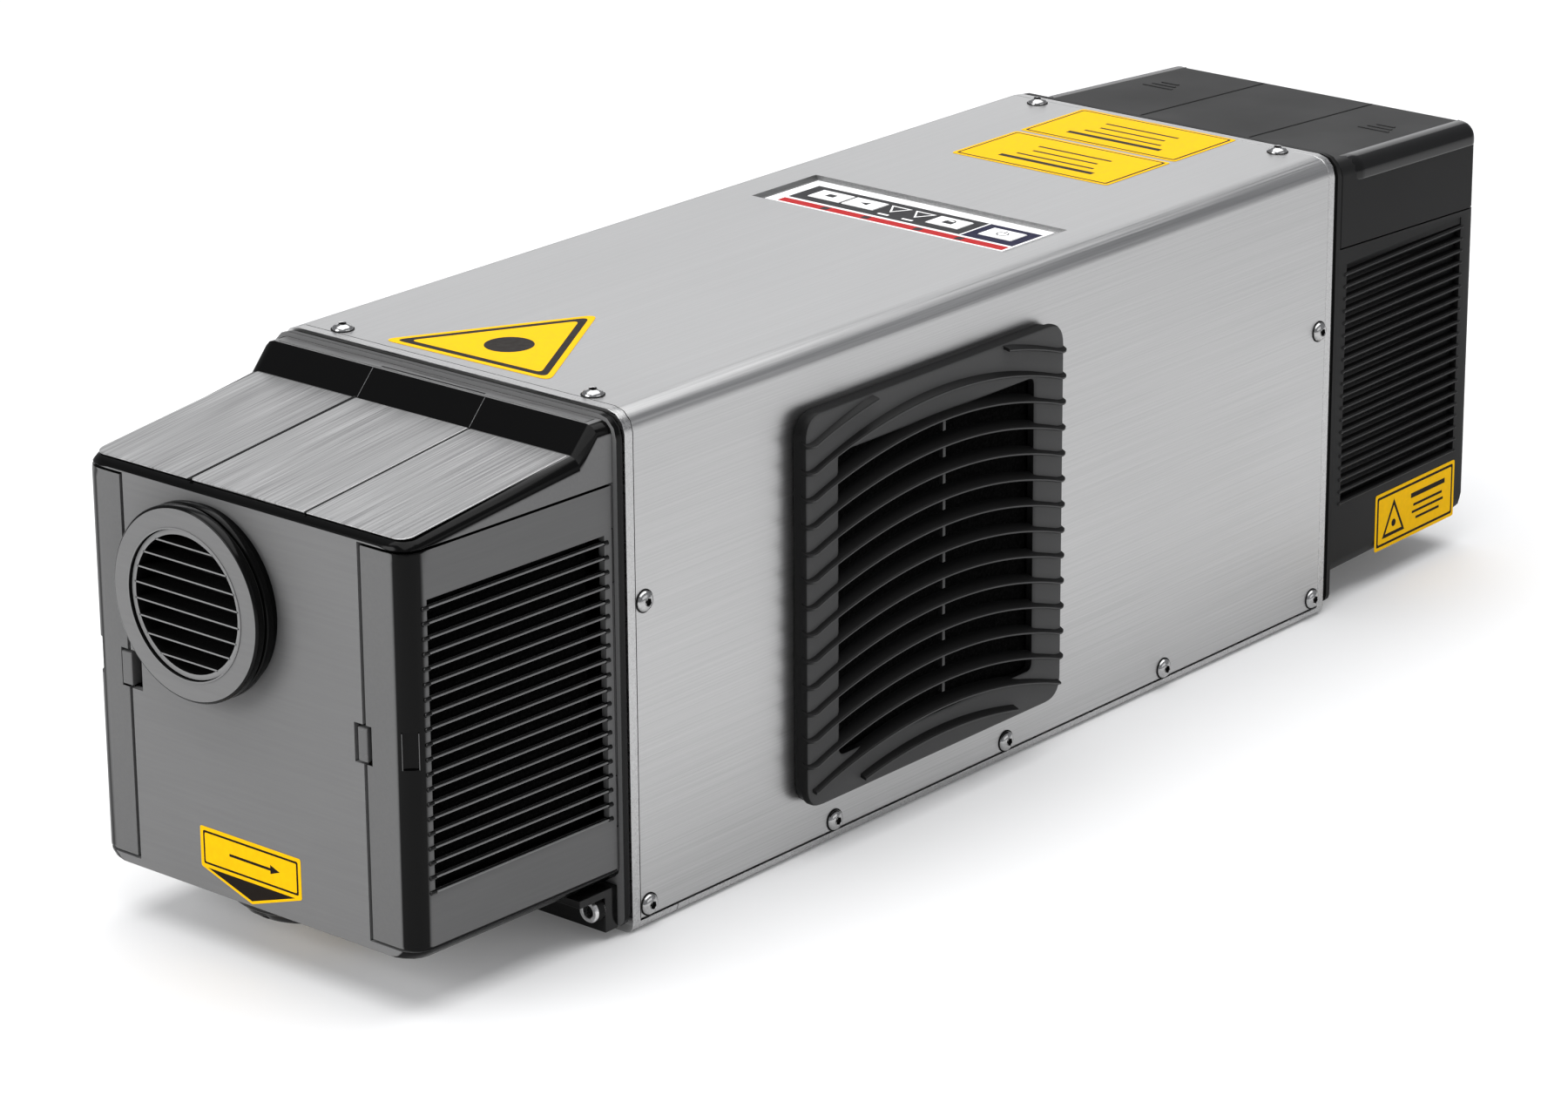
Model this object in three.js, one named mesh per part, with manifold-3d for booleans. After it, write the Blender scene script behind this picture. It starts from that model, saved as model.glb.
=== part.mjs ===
// Air-cooled laser date coder: a steel-covered body on a base plate, a moulded front head that
// holds the beam-steering mirrors and the exhaust collar, and a moulded rear housing with the
// connections. Millimetres, +Z up, +X to the rear, -Y the side with the square filter grille.
// The origin is the centre of the base plate's underside.
import * as THREE from "three";
import { mergeVertices } from "three/addons/utils/BufferGeometryUtils.js";
import Module from "manifold-3d";

// Driving dimensions of the body
const BODY = { length: 420, width: 164, height: 192, cornerRadius: 8, footRadius: 3.5 };
const SHEET = 1.5; // steel cover thickness
const GAP = 0.3; // clearance between touching pieces
const SEAT = 0.1; // clearance under a screw head
const LIP = 4; // thickness of the end frames' outer lip, and height of the base strip
const SHOULDER = { depth: 14, thickness: 6.2 };
const FOOT_LENGTH = 24;
const UPSTAND = { thickness: 3, top: 18 }; // flanges that take the lower side screws
const FRAME_SILL = 12; // top of the end frames' lower rail
const BASE_HOLES = { x: [-150, -50, 50, 150], y: [-45, 45], radius: 3.3 }; // clearance for M6
const GASKET = { near: 0.3, far: 1.7, inset: 0.8, opening: { y: 74.5, z: [16, 184] } };
const FLANGE = { near: 2, far: 4.3, inset: 0, bottom: 4, top: 191.4, cornerRadius: 3.5 };
const FRONT_OPENING = { y: 76.5, z: [24, 186] };
const REAR_OPENING = { y: 76.5, z: [18, 183] };
const MOULD_WALL = 2.5;

// Front head
const HEAD = { front: -312.5, bottom: 21.6, footRoll: 0.15, halfWidth: 80, taper: 3 };
// The roll of the head's front edges: [behind the front face, in from the side, down from the top]
const FRONT_ROLL = [
  [8, 0, 0],
  [5.2, 0.5, 0],
  [2.9, 1.7, 0.35],
  [1.25, 3.5, 1.1],
  [0.3, 5.7, 2.1],
  [0, 8, 3],
];
const SLOPE = { front: -311, frontTop: 171.2, rear: -229.6, rearTop: 180.4, ledge: -221, ledgeTop: 189.5 };
const COLLAR = { y: 17, z: 132, outer: 35, bore: 26.8, spigot: 30.7, front: -324, back: -306 };
const BEAM = { lensX: -282, lensY: 3, y: 24, z: 62 };
const BEAM_RING = { flange: 28.5, outer: 25, neck: 23, bore: 20, bottom: 15, rise: 2.2, top: 27.5 };
const SIDE_COVER = { rear: -215.3, bottom: 26, top: 167, gap: 1.4, rearGap: 0.8, topGap: 0.9 };
const COVER_EDGE = { near: 56.5, far: 58.6 }; // where each side cover ends on the head's front face
const RIBS = {
  count: 20,
  pitch: 5.33,
  slot: 4.15,
  bottom: 46.4,
  top: 150,
  from: -303.2,
  to: -218.8,
  recess: 1,
};
const FINGER_RECESS = { x: -310.2, y: 74.7, width: 6, depth: 1.2, z: [91, 104.5] };
const COVER_HINGE = { y: 79.7, tabs: [[42, 60.5], [132, 151]], tabEnd: -213, pocketEnd: -212.5 };
const LATCH = {
  proud: 0.5,
  reach: 4.5,
  z: [90.2, 102.4],
  openingZ: [89.3, 103.3],
  near: { tab: [53, 57.3], opening: [51, 59] },
  far: { tab: [56.4, 61.3], opening: [52, 62] },
};

// Rear housing
const REAR = { end: 320, bottom: 13.5, rise: 1.4, topFront: 187.6, topRear: 182.4 };
const HOOD = { front: 218.4, frontSeam: 151.7, back: 340, backSeam: 145.6 };
const REAR_RIBS = { count: 20, pitch: 5.1, slot: 3.5, bottom: 44, top: 144.4, from: 223.4, to: 309 };
const BAFFLE = { x: [217, 312], y: [71.8, 74.2], z: [38, 157] };
const WEB = { y: [74, 77], levels: [[38, 41], [141.6, 144.6]] };
const PORT = { halfWidth: 56, bottom: 38, top: 132, plate: 2 };

// Side filter grille
const GRILLE = { x: -48.2, z: 95, size: 150, cutOut: 124, proud: 10.5, flange: 3 };
const GRILLE_OPENING = { halfWidth: 56.5, bottom: 37.5, top: 150 };
const SLATS = { count: 15, pitch: 10.1, first: 16.8, thickness: 2, rise: 12.5 };
const FAN = { size: 120, depth: 38, hub: 20, tip: 56, blades: 7 };

// Keypad
const KEYPAD = {
  x: 41,
  y: -2,
  length: 116,
  width: 32,
  depth: 1.6,
  plate: 0.9, // height of the panel's face above the recess floor
  recessX: [22.5, 61],
  recessY: [-63, 60.5],
  holeX: [33, 52], // opening under the keys
  holeY: [-57, 47],
};
const KEY = {
  x: 42.5,
  length: 15.4,
  width: 10,
  rise: 1.2, // height of the cap above the recess floor
  skirt: 0.6, // how far the retaining skirt stands out
  centres: { stop: 37.2, start: 20.4, shutter: -21, power: -46.5 },
};

const SCREW = { head: 3.9, height: 2.2, shank: 2, length: 9, hole: 2.3 };
const END_SCREW_X = 201.5;
const SIDE_SCREWS = [
  [-END_SCREW_X, 9],
  [-100, 8.5],
  [1, 8.5],
  [101, 8.5],
  [END_SCREW_X, 9],
  [-END_SCREW_X, 122],
  [END_SCREW_X, 122],
];
const TOP_SCREWS = [-1, 1].flatMap((end) => [60, -60].map((y) => [end * END_SCREW_X, y]));

const HALF = { x: BODY.length / 2, y: BODY.width / 2 };
const SKIN = { y: HALF.y - SHEET - GAP, z: BODY.height - SHEET - GAP }; // face the cover rests on
const CORNER_STEPS = 3;

const wasm = await Module();
wasm.setup();

// ---- Solids ----

// A closed three.js geometry as a manifold-3d solid.
function toSolid(geometry) {
  const bare = geometry.clone();
  bare.deleteAttribute("normal");
  bare.deleteAttribute("uv");
  const merged = mergeVertices(bare, 1e-4);
  return new wasm.Manifold(
    new wasm.Mesh({
      numProp: 3,
      vertProperties: new Float32Array(merged.attributes.position.array),
      triVerts: new Uint32Array(merged.index.array),
    }),
  );
}

function toGeometry(solid) {
  const { vertProperties, triVerts } = solid.getMesh();
  const geometry = new THREE.BufferGeometry();
  geometry.setAttribute("position", new THREE.BufferAttribute(vertProperties, 3));
  geometry.setIndex(new THREE.BufferAttribute(triVerts, 1));
  geometry.computeVertexNormals();
  return geometry;
}

function join(...solids) {
  return solids.reduce((whole, solid) => whole.add(solid));
}

function cut(solid, ...tools) {
  return tools.reduce((rest, tool) => rest.subtract(tool), solid);
}

function box([x0, x1], [y0, y1], [z0, z1]) {
  const geometry = new THREE.BoxGeometry(x1 - x0, y1 - y0, z1 - z0);
  geometry.translate((x0 + x1) / 2, (y0 + y1) / 2, (z0 + z1) / 2);
  return toSolid(geometry);
}

// A box mirrored to both sides of the plane y = 0.
function boxPair(x, [y0, y1], z) {
  return join(box(x, [y0, y1], z), box(x, [-y1, -y0], z));
}

// A round bar along an axis; centre is a point [x, y, z] whose own axis value is not used.
function rod(axis, radius, [from, to], [x, y, z], sides = 24) {
  const geometry = new THREE.CylinderGeometry(radius, radius, to - from, sides);
  const middle = (from + to) / 2;
  if (axis === "x") geometry.rotateZ(-Math.PI / 2).translate(middle, y, z);
  if (axis === "y") geometry.translate(x, middle, z);
  if (axis === "z") geometry.rotateX(Math.PI / 2).translate(x, y, middle);
  return toSolid(geometry);
}

// An outline [[u, v], ...] drawn in a plane and extruded along the third axis.
function prism(plane, points, [from, to]) {
  const shape = new THREE.Shape(points.map(([u, v]) => new THREE.Vector2(u, v)));
  const geometry = new THREE.ExtrudeGeometry(shape, { depth: to - from, bevelEnabled: false });
  if (plane === "yz") {
    geometry.applyMatrix4(new THREE.Matrix4().set(0, 0, 1, from, 1, 0, 0, 0, 0, 1, 0, 0, 0, 0, 0, 1));
  }
  if (plane === "xz") {
    geometry.applyMatrix4(new THREE.Matrix4().set(1, 0, 0, 0, 0, 0, -1, to, 0, 1, 0, 0, 0, 0, 0, 1));
  }
  return toSolid(geometry);
}

// A rectangle's outline with round corners; topRadius is for the corners at the high v.
function roundedRectangle([u0, u1], [v0, v1], radius, topRadius = radius, steps = CORNER_STEPS) {
  const corners = [
    [u1 - topRadius, v1 - topRadius, topRadius, 0],
    [u0 + topRadius, v1 - topRadius, topRadius, 90],
    [u0 + radius, v0 + radius, radius, 180],
    [u1 - radius, v0 + radius, radius, 270],
  ];
  return corners.flatMap(([u, v, r, start]) =>
    Array.from({ length: steps + 1 }, (_, i) => {
      const turn = THREE.MathUtils.degToRad(start + (90 * i) / steps);
      return [u + r * Math.cos(turn), v + r * Math.sin(turn)];
    }),
  );
}

// A tapered body of round-cornered sections along X; each is [x, halfWidth, bottom, top, radius].
// inset moves every wall inwards by that much.
function loft(sections, inset = 0) {
  const rings = sections.map(([x, halfWidth, bottom, top, radius]) =>
    roundedRectangle(
      [-halfWidth + inset, halfWidth - inset],
      [bottom + inset, top - inset],
      Math.max(radius - inset, 1),
    ).map(([y, z]) => [x, y, z]),
  );
  const size = rings[0].length;
  const positions = rings.flat(2);
  const index = [];
  for (let ring = 0; ring + 1 < rings.length; ring++) {
    for (let i = 0; i < size; i++) {
      const a = ring * size + i;
      const b = ring * size + ((i + 1) % size);
      index.push(a, b, a + size, b, b + size, a + size);
    }
  }
  const last = (rings.length - 1) * size;
  for (let i = 1; i + 1 < size; i++) {
    index.push(0, i + 1, i, last, last + i, last + i + 1);
  }
  const geometry = new THREE.BufferGeometry();
  geometry.setAttribute("position", new THREE.Float32BufferAttribute(positions, 3));
  geometry.setIndex(index);
  const solid = toSolid(geometry);
  return solid.volume() > 0 ? solid : loft([...sections].reverse(), inset);
}

// ---- Body ----

function bodyOutline(inset = 0, bottom = 0, footRadius = 1) {
  const side = HALF.y - inset;
  const z = [bottom, BODY.height - inset];
  return roundedRectangle([-side, side], z, footRadius, BODY.cornerRadius - inset);
}

// The body's outline with its rounded bottom edges.
function roundFooted(spanX) {
  return prism("yz", bodyOutline(0, 0, BODY.footRadius), spanX);
}

// A length of the base strip, as high as the end frames' lip.
function baseStrip(spanX) {
  return roundFooted(spanX).intersect(box(spanX, [-HALF.y, HALF.y], [0, LIP]));
}

function sideScrewHoles() {
  return SIDE_SCREWS.map(([x, z]) => rod("y", SCREW.hole, [-HALF.y - 1, HALF.y + 1], [x, 0, z], 8));
}

function topScrewHoles() {
  const z = [BODY.height - 12, BODY.height + 1];
  return TOP_SCREWS.map(([x, y]) => rod("z", SCREW.hole, z, [x, y, 0], 8));
}

function basePlate() {
  const end = HALF.x - FOOT_LENGTH;
  const plate = baseStrip([-end, end]);
  const upstands = boxPair([-end, end], [SKIN.y - UPSTAND.thickness, SKIN.y], [LIP - 1, UPSTAND.top]);
  const holes = BASE_HOLES.x.flatMap((x) =>
    BASE_HOLES.y.map((y) => rod("z", BASE_HOLES.radius, [-1, LIP + 1], [x, y, 0], 10)),
  );
  return cut(join(plate, upstands), ...sideScrewHoles(), ...holes);
}

// One end frame; side is -1 for the front and 1 for the rear.
function endFrame(side) {
  const spanX = (from, to) => (side < 0 ? [-to, -from] : [from, to]);
  const inner = HALF.x - LIP - SHOULDER.depth;
  const lip = roundFooted(spanX(HALF.x - LIP, HALF.x));
  const shoulder = prism("yz", bodyOutline(HALF.y - SKIN.y, LIP), spanX(inner, HALF.x - LIP + 1));
  const foot = baseStrip(spanX(HALF.x - FOOT_LENGTH + GAP, HALF.x - 1));
  const rail = box(spanX(inner, HALF.x - 1), [-SKIN.y, SKIN.y], [LIP - 1, FRAME_SILL]);
  const opening = SKIN.y - SHOULDER.thickness;
  const window = box(
    spanX(inner - 1, HALF.x + 1),
    [-opening, opening],
    [FRAME_SILL, SKIN.z - SHOULDER.thickness],
  );
  return cut(join(lip, shoulder, foot, rail), window, ...sideScrewHoles(), ...topScrewHoles());
}

function steelCover() {
  const span = [-HALF.x + LIP + GAP, HALF.x - LIP - GAP];
  const outside = prism("yz", bodyOutline(0, LIP + GAP), span);
  const inside = prism("yz", bodyOutline(SHEET, -1), [span[0] - 1, span[1] + 1]);
  const [grilleX, grilleZ] = centredSquare(GRILLE.cutOut);
  const grilleHole = box(grilleX, [-HALF.y - 1, -HALF.y + 3], grilleZ);
  const { recessX, recessY, holeX, holeY, depth } = KEYPAD;
  const floor = BODY.height - depth;
  const grow = ([from, to], by) => [from - by, to + by];
  const pan = box(grow(recessX, SHEET), grow(recessY, SHEET), [floor - SHEET, BODY.height - SHEET / 2]);
  const pocket = box(recessX, recessY, [floor, BODY.height + 1]);
  const keyHole = box(holeX, holeY, [floor - 3, floor + 1]);
  const holes = [...sideScrewHoles(), ...topScrewHoles()];
  return cut(join(cut(outside, inside), pan), pocket, keyHole, grilleHole, ...holes);
}

// A button-head screw with a hexagon socket, its head's underside at z = 0 and its shank below.
function buttonScrew() {
  const { head, height, shank, length } = SCREW;
  const profile = [
    [0, -length], [shank, -length], [shank, 0], [head, 0],
    [head * 0.96, height * 0.4], [head * 0.78, height * 0.78], [head * 0.45, height], [0, height],
  ];
  const turned = new THREE.LatheGeometry(profile.map(([r, y]) => new THREE.Vector2(r, y)), 12);
  turned.rotateX(Math.PI / 2);
  return cut(toSolid(turned), rod("z", 1.45, [height - 1.5, height + 1], [0, 0, 0], 6));
}

function keypadPanel() {
  const floor = BODY.height - KEYPAD.depth;
  const { x, y, width, length } = KEYPAD;
  const plateX = [x - width / 2, x + width / 2];
  const plateY = [y - length / 2, y + length / 2];
  const plate = box(plateX, plateY, [floor + SEAT, floor + KEYPAD.plate]);
  const holes = Object.values(KEY.centres).map((centre) => keyBlock(centre, GAP, [floor - 1, floor + 2]));
  return cut(plate, ...holes);
}

function keyBlock(centre, grow, z) {
  const halfWidth = KEY.width / 2 + grow;
  const halfLength = KEY.length / 2 + grow;
  return box([KEY.x - halfWidth, KEY.x + halfWidth], [centre - halfLength, centre + halfLength], z);
}

// A key cap with the skirt under the panel that keeps it in.
function key(centre) {
  const floor = BODY.height - KEYPAD.depth;
  const cap = keyBlock(centre, 0, [floor - 0.4, floor + KEY.rise]);
  const skirt = keyBlock(centre, KEY.skirt, [floor - 1, floor - GAP]);
  return join(cap, skirt);
}

// ---- Housings ----

// A flat ring round the body's end, set in from the flange's edge; side is -1 front and 1 rear.
// opening gives the hole's half width y and its range z.
function endRing(side, { near, far, inset, opening }) {
  const span = side < 0 ? [-HALF.x - far, -HALF.x - near] : [HALF.x + near, HALF.x + far];
  const y = HALF.y - inset;
  const z = [FLANGE.bottom + inset, FLANGE.top - inset];
  const ring = prism("yz", roundedRectangle([-y, y], z, FLANGE.cornerRadius, BODY.cornerRadius), span);
  return cut(ring, box([span[0] - 1, span[1] + 1], [-opening.y, opening.y], opening.z));
}

function gasket(side) {
  return endRing(side, GASKET);
}

// The front head's outer sections, from the flange to the rounded front edge.
function headSections() {
  const { front, bottom, footRoll, halfWidth, taper } = HEAD;
  const { ledge, ledgeTop, rear, rearTop, frontTop } = SLOPE;
  const flangeX = -HALF.x - FLANGE.near;
  const share = (x) => (flangeX - x) / (flangeX - front);
  const section = (x, top, inward = 0, down = 0) => [
    x,
    halfWidth - taper * share(x) - inward,
    bottom + footRoll * down,
    top - down,
    5,
  ];
  return [
    section(flangeX, ledgeTop),
    section(ledge, ledgeTop),
    section(rear, rearTop),
    ...FRONT_ROLL.map(([behind, inward, down]) => section(front + behind, frontTop, inward, down)),
  ];
}

function headShell() {
  const outside = loft(headSections());
  const inner = headSections();
  inner[0][0] += 10; // runs out through the open back
  for (const section of inner.slice(3)) section[0] += MOULD_WALL;
  return cut(outside, loft(inner, MOULD_WALL));
}

// A box whose Y range [inner, outer] is measured outwards; side is -1 near and 1 far.
function sideBox(side, x, [inner, outer], z) {
  return box(x, side < 0 ? [-outer, -inner] : [inner, outer], z);
}

// The box that one L-shaped side cover is cut from, with the gaps left round it.
function sideCoverRegion(side, gap = 0, rearGap = 0, topGap = 0) {
  const { rear, bottom, top } = SIDE_COVER;
  const edge = side < 0 ? COVER_EDGE.near : COVER_EDGE.far;
  return sideBox(side, [-330, rear + rearGap], [edge - gap, 100], [bottom - topGap, top + topGap]);
}

function latchOpening(side) {
  const { opening } = side < 0 ? LATCH.near : LATCH.far;
  return sideBox(side, [-314, -300], opening, LATCH.openingZ);
}

function hingeTabs(side, x, grow, reach) {
  const outer = COVER_HINGE.y - 0.4 + grow;
  return COVER_HINGE.tabs.map(([from, to]) =>
    sideBox(side, x, [outer - reach, outer], [from - grow, to + grow]),
  );
}

function frontHousing() {
  const { rear, gap, rearGap, topGap } = SIDE_COVER;
  const flange = endRing(-1, { ...FLANGE, opening: FRONT_OPENING });
  const pocketX = [rear - 1, COVER_HINGE.pocketEnd];
  const pockets = [-1, 1].flatMap((side) => hingeTabs(side, pocketX, 0.4, 6));
  const covers = [-1, 1].map((side) => sideCoverRegion(side, gap, rearGap, topGap));
  const collarHole = rod("x", COLLAR.spigot + GAP, [-330, -300], [0, COLLAR.y, COLLAR.z]);
  const beamHole = rod("z", BEAM_RING.neck + GAP, [0, 40], [BEAM.lensX, BEAM.lensY, 0]);
  const latches = [-1, 1].map(latchOpening);
  return cut(join(headShell(), flange), ...covers, ...latches, ...pockets, collarHole, beamHole);
}

function slots({ count, pitch, slot, bottom, top, from, to }, y) {
  return Array.from({ length: count }, (_, i) => {
    const low = bottom + i * pitch;
    return box([from, to], y, [low, Math.min(low + slot, top)]);
  });
}

// The shallow recess round the louvre of one side cover, following the wall's taper.
function louvreRecess(side) {
  const { from, to, bottom, top, recess } = RIBS;
  const middle = (from + to) / 2;
  const length = -HEAD.front - HALF.x - FLANGE.near;
  const wall = HEAD.halfWidth - (HEAD.taper * (-HALF.x - FLANGE.near - middle)) / length;
  const halfLength = (to - from) / 2;
  const y = side < 0 ? [-6, recess] : [-recess, 6];
  const turn = side * THREE.MathUtils.radToDeg(Math.atan(HEAD.taper / length));
  return box([-halfLength, halfLength], y, [bottom - 1, top])
    .rotate([0, 0, turn])
    .translate([middle, side * wall, 0]);
}

// The shallow pocket on the head's rounded corner, where a finger starts to pull the cover open.
function fingerRecess(side) {
  const { x, y, width, depth, z } = FINGER_RECESS;
  return box([-width / 2, width / 2], [-depth, 5], z)
    .rotate([0, 0, 90 - 45 * side])
    .translate([x, side * y, 0]);
}

function sideCover(side) {
  const shell = headShell().intersect(sideCoverRegion(side));
  const tabs = hingeTabs(side, [SIDE_COVER.rear - 6, COVER_HINGE.tabEnd], 0, 2);
  const y = side < 0 ? [-90, -70] : [70, 90];
  return cut(
    join(shell, ...tabs),
    latchOpening(side),
    louvreRecess(side),
    fingerRecess(side),
    ...slots(RIBS, y),
  );
}

function coverLatch(side) {
  const { tab } = side < 0 ? LATCH.near : LATCH.far;
  return sideBox(side, [HEAD.front - LATCH.proud, HEAD.front + LATCH.reach], tab, LATCH.z);
}

function sideFilter(side) {
  return sideBox(side, [-301, -222], [68, 73.6], [42, 153]);
}

function exhaustCollar() {
  const { outer, bore, spigot, front, back } = COLLAR;
  const face = HEAD.front - SEAT;
  const profile = [
    [bore, front], [outer, front], [outer, front + 4], [outer - 1.6, front + 4], [outer - 1.6, front + 5.5],
    [outer, front + 5.5], [outer, front + 8.5], [outer - 1.6, front + 8.5], [outer - 1.6, face],
    [spigot, face], [spigot, back], [bore, back], [bore, front],
  ];
  const turned = new THREE.LatheGeometry(profile.map(([r, x]) => new THREE.Vector2(r, x)), 32);
  turned.rotateZ(-Math.PI / 2).translate(0, COLLAR.y, COLLAR.z);
  return toSolid(turned);
}

// Eight level vanes in a ring that slips into the collar's bore.
function collarLouvre() {
  const { y, z, bore, front } = COLLAR;
  const x = [front + 1.3, front + 10.3];
  const ring = cut(rod("x", bore - GAP, x, [0, y, z]), rod("x", bore - 2.1, [-330, -300], [0, y, z]));
  const vanes = Array.from({ length: 8 }, (_, i) => {
    const level = z + (i - 3.5) * 5.9;
    const halfWidth = Math.sqrt((bore - 1.3) ** 2 - (Math.abs(level - z) + 0.7) ** 2);
    return box(x, [y - halfWidth, y + halfWidth], [level - 0.6, level + 0.6]);
  });
  return join(ring, ...vanes);
}

function beamExitRing() {
  const { flange, outer, neck, bore, bottom, rise, top } = BEAM_RING;
  const seat = HEAD.bottom - SEAT;
  const profile = [
    [bore, bottom], [outer - 1.5, bottom], [outer, bottom + 1.5], [outer, seat - rise], [flange, seat - rise],
    [flange, seat], [neck, seat], [neck, top], [bore + 1, top], [bore + 1, bottom + 4], [bore, bottom + 4],
    [bore, bottom],
  ];
  const turned = new THREE.LatheGeometry(profile.map(([r, h]) => new THREE.Vector2(r, h)), 24);
  turned.rotateX(Math.PI / 2).translate(BEAM.lensX, BEAM.lensY, 0);
  return toSolid(turned);
}

// A plano-convex lens that rests on the ring's inner step.
function focusLens() {
  const radius = BEAM_RING.bore + 1 - GAP;
  const low = BEAM_RING.bottom + 4 + GAP;
  const profile = [[0, low], [radius, low], [radius, low + 2], [radius * 0.6, low + 3.2], [0, low + 3.8]];
  const turned = new THREE.LatheGeometry(profile.map(([r, h]) => new THREE.Vector2(r, h)), 24);
  turned.rotateX(Math.PI / 2).translate(BEAM.lensX, BEAM.lensY, 0);
  return toSolid(turned);
}

function rearSections() {
  const { end, bottom, rise, topFront, topRear } = REAR;
  const flangeX = HALF.x + FLANGE.near;
  const share = (x) => (x - flangeX) / (end - flangeX);
  const section = (x, inset = 0) => [
    x,
    80 - 3 * share(x) - inset,
    bottom + rise * share(x) + inset,
    topFront + (topRear - topFront) * share(x) - inset,
    6,
  ];
  return [section(flangeX), section(end - 4), section(end - 1.2, 1.2), section(end, 3.6)];
}

function rearShell() {
  const inner = rearSections();
  inner[0][0] -= 10; // runs out through the open front
  for (const i of [1, 2, 3]) inner[i][0] -= MOULD_WALL;
  return cut(loft(rearSections()), loft(inner, MOULD_WALL));
}

// The sliding hood's share of the rear shell: all that lies above a seam falling to the rear.
function hoodRegion(grow) {
  const { front, frontSeam, back, backSeam } = HOOD;
  const seam = [[front - grow, frontSeam - grow], [back, backSeam - grow]];
  return prism("xz", [...seam, [back, 220], [front - grow, 220]], [-100, 100]);
}

// Lower shell with louvred sides; a baffle inside each louvre also guides the sliding hood.
function rearHousing() {
  const flange = endRing(1, { ...FLANGE, opening: REAR_OPENING });
  const shell = cut(rearShell(), hoodRegion(0.4));
  const baffles = boxPair(BAFFLE.x, BAFFLE.y, BAFFLE.z);
  const webs = WEB.levels.map((z) => boxPair(BAFFLE.x, WEB.y, z));
  const port = box([310, 330], [-PORT.halfWidth, PORT.halfWidth], [PORT.bottom, PORT.top]);
  const ribs = [...slots(REAR_RIBS, [-90, -70]), ...slots(REAR_RIBS, [70, 90])];
  return join(cut(join(shell, flange), port, ...ribs), baffles, ...webs);
}

function rearTopCover() {
  return rearShell().intersect(hoodRegion(0));
}

// ---- Square filter grille and fan ----

const centredSquare = (size) => [
  [GRILLE.x - size / 2, GRILLE.x + size / 2],
  [GRILLE.z - size / 2, GRILLE.z + size / 2],
];

// The frame clipped into the cover's cut-out, with bars behind the filter mat.
function filterFrame() {
  const [x, z] = centredSquare(GRILLE.size - 2);
  const [cx, cz] = centredSquare(GRILLE.cutOut - 2 * GAP);
  const [mx, mz] = centredSquare(GRILLE.cutOut - 6);
  const face = -HALF.y - GAP;
  const back = -HALF.y + 7;
  const flange = prism("xz", roundedRectangle(x, z, 8), [face - GRILLE.flange, face]);
  const collar = box(cx, [face - 1, back], cz);
  const pocket = box(mx, [-HALF.y - 5, back + 1], mz);
  const bars = [-20, 20].flatMap((offset) => [
    box([GRILLE.x + offset - 1.5, GRILLE.x + offset + 1.5], [back - 2, back], [mz[0] - 1, mz[1] + 1]),
    box([mx[0] - 1, mx[1] + 1], [back - 2, back], [GRILLE.z + offset - 1.5, GRILLE.z + offset + 1.5]),
  ]);
  return join(cut(join(flange, collar), pocket), ...bars);
}

function filterMat() {
  const [x, z] = centredSquare(GRILLE.cutOut - 6 - 2 * GAP);
  return box(x, [-HALF.y - 2.5, -HALF.y + 7 - 2 - GAP], z);
}

// An arched band across the frame, highest in the middle.
function archedSlat(level, y) {
  const halfSpan = GRILLE.size / 2;
  const steps = 10;
  const arch = (u) => level + SLATS.rise * (1 - (u / halfSpan) ** 2);
  const span = Array.from({ length: steps + 1 }, (_, i) => -halfSpan + (2 * halfSpan * i) / steps);
  const lower = span.map((u) => [GRILLE.x + u, arch(u)]);
  const upper = span.map((u) => [GRILLE.x + u, arch(u) + SLATS.thickness]).reverse();
  return prism("xz", [...lower, ...upper], y);
}

function filterGrille() {
  const [x, z] = centredSquare(GRILLE.size);
  const { halfWidth, bottom, top } = GRILLE_OPENING;
  const opening = roundedRectangle([GRILLE.x - halfWidth, GRILLE.x + halfWidth], [bottom, top], 3);
  const back = -HALF.y - 2 * GAP - GRILLE.flange;
  const front = -HALF.y - GRILLE.proud;
  const frame = cut(
    prism("xz", roundedRectangle(x, z, 8), [front + 4, back]),
    prism("xz", opening, [front - 1, back + 1]),
  );
  const slats = Array.from({ length: SLATS.count }, (_, i) =>
    archedSlat(SLATS.first + i * SLATS.pitch, [front, back - 0.5]),
  );
  const outline = prism("xz", roundedRectangle(x, z, 8), [front - 1, back + 1]);
  return join(frame, join(...slats).intersect(outline));
}

function fanFrame() {
  const { size, depth, tip } = FAN;
  const front = -HALF.y + 7 + GAP;
  const back = front + depth;
  const [x, z] = centredSquare(size);
  const centre = [GRILLE.x, 0, GRILLE.z];
  const block = cut(
    prism("xz", roundedRectangle(x, z, 6), [front, back]),
    rod("y", tip + 1.5, [front - 1, back + 1], centre, 36),
  );
  const motor = rod("y", FAN.hub - 1, [back - 6, back], centre);
  const arms = [
    box([x[0] + 2, x[1] - 2], [back - 3, back], [GRILLE.z - 2, GRILLE.z + 2]),
    box([GRILLE.x - 2, GRILLE.x + 2], [back - 3, back], [z[0] + 2, z[1] - 2]),
  ];
  const holes = [-52.5, 52.5].flatMap((u) =>
    [-52.5, 52.5].map((v) => rod("y", 2.2, [front - 1, back + 1], [GRILLE.x + u, 0, GRILLE.z + v], 8)),
  );
  return cut(join(block, motor, ...arms), ...holes);
}

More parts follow.
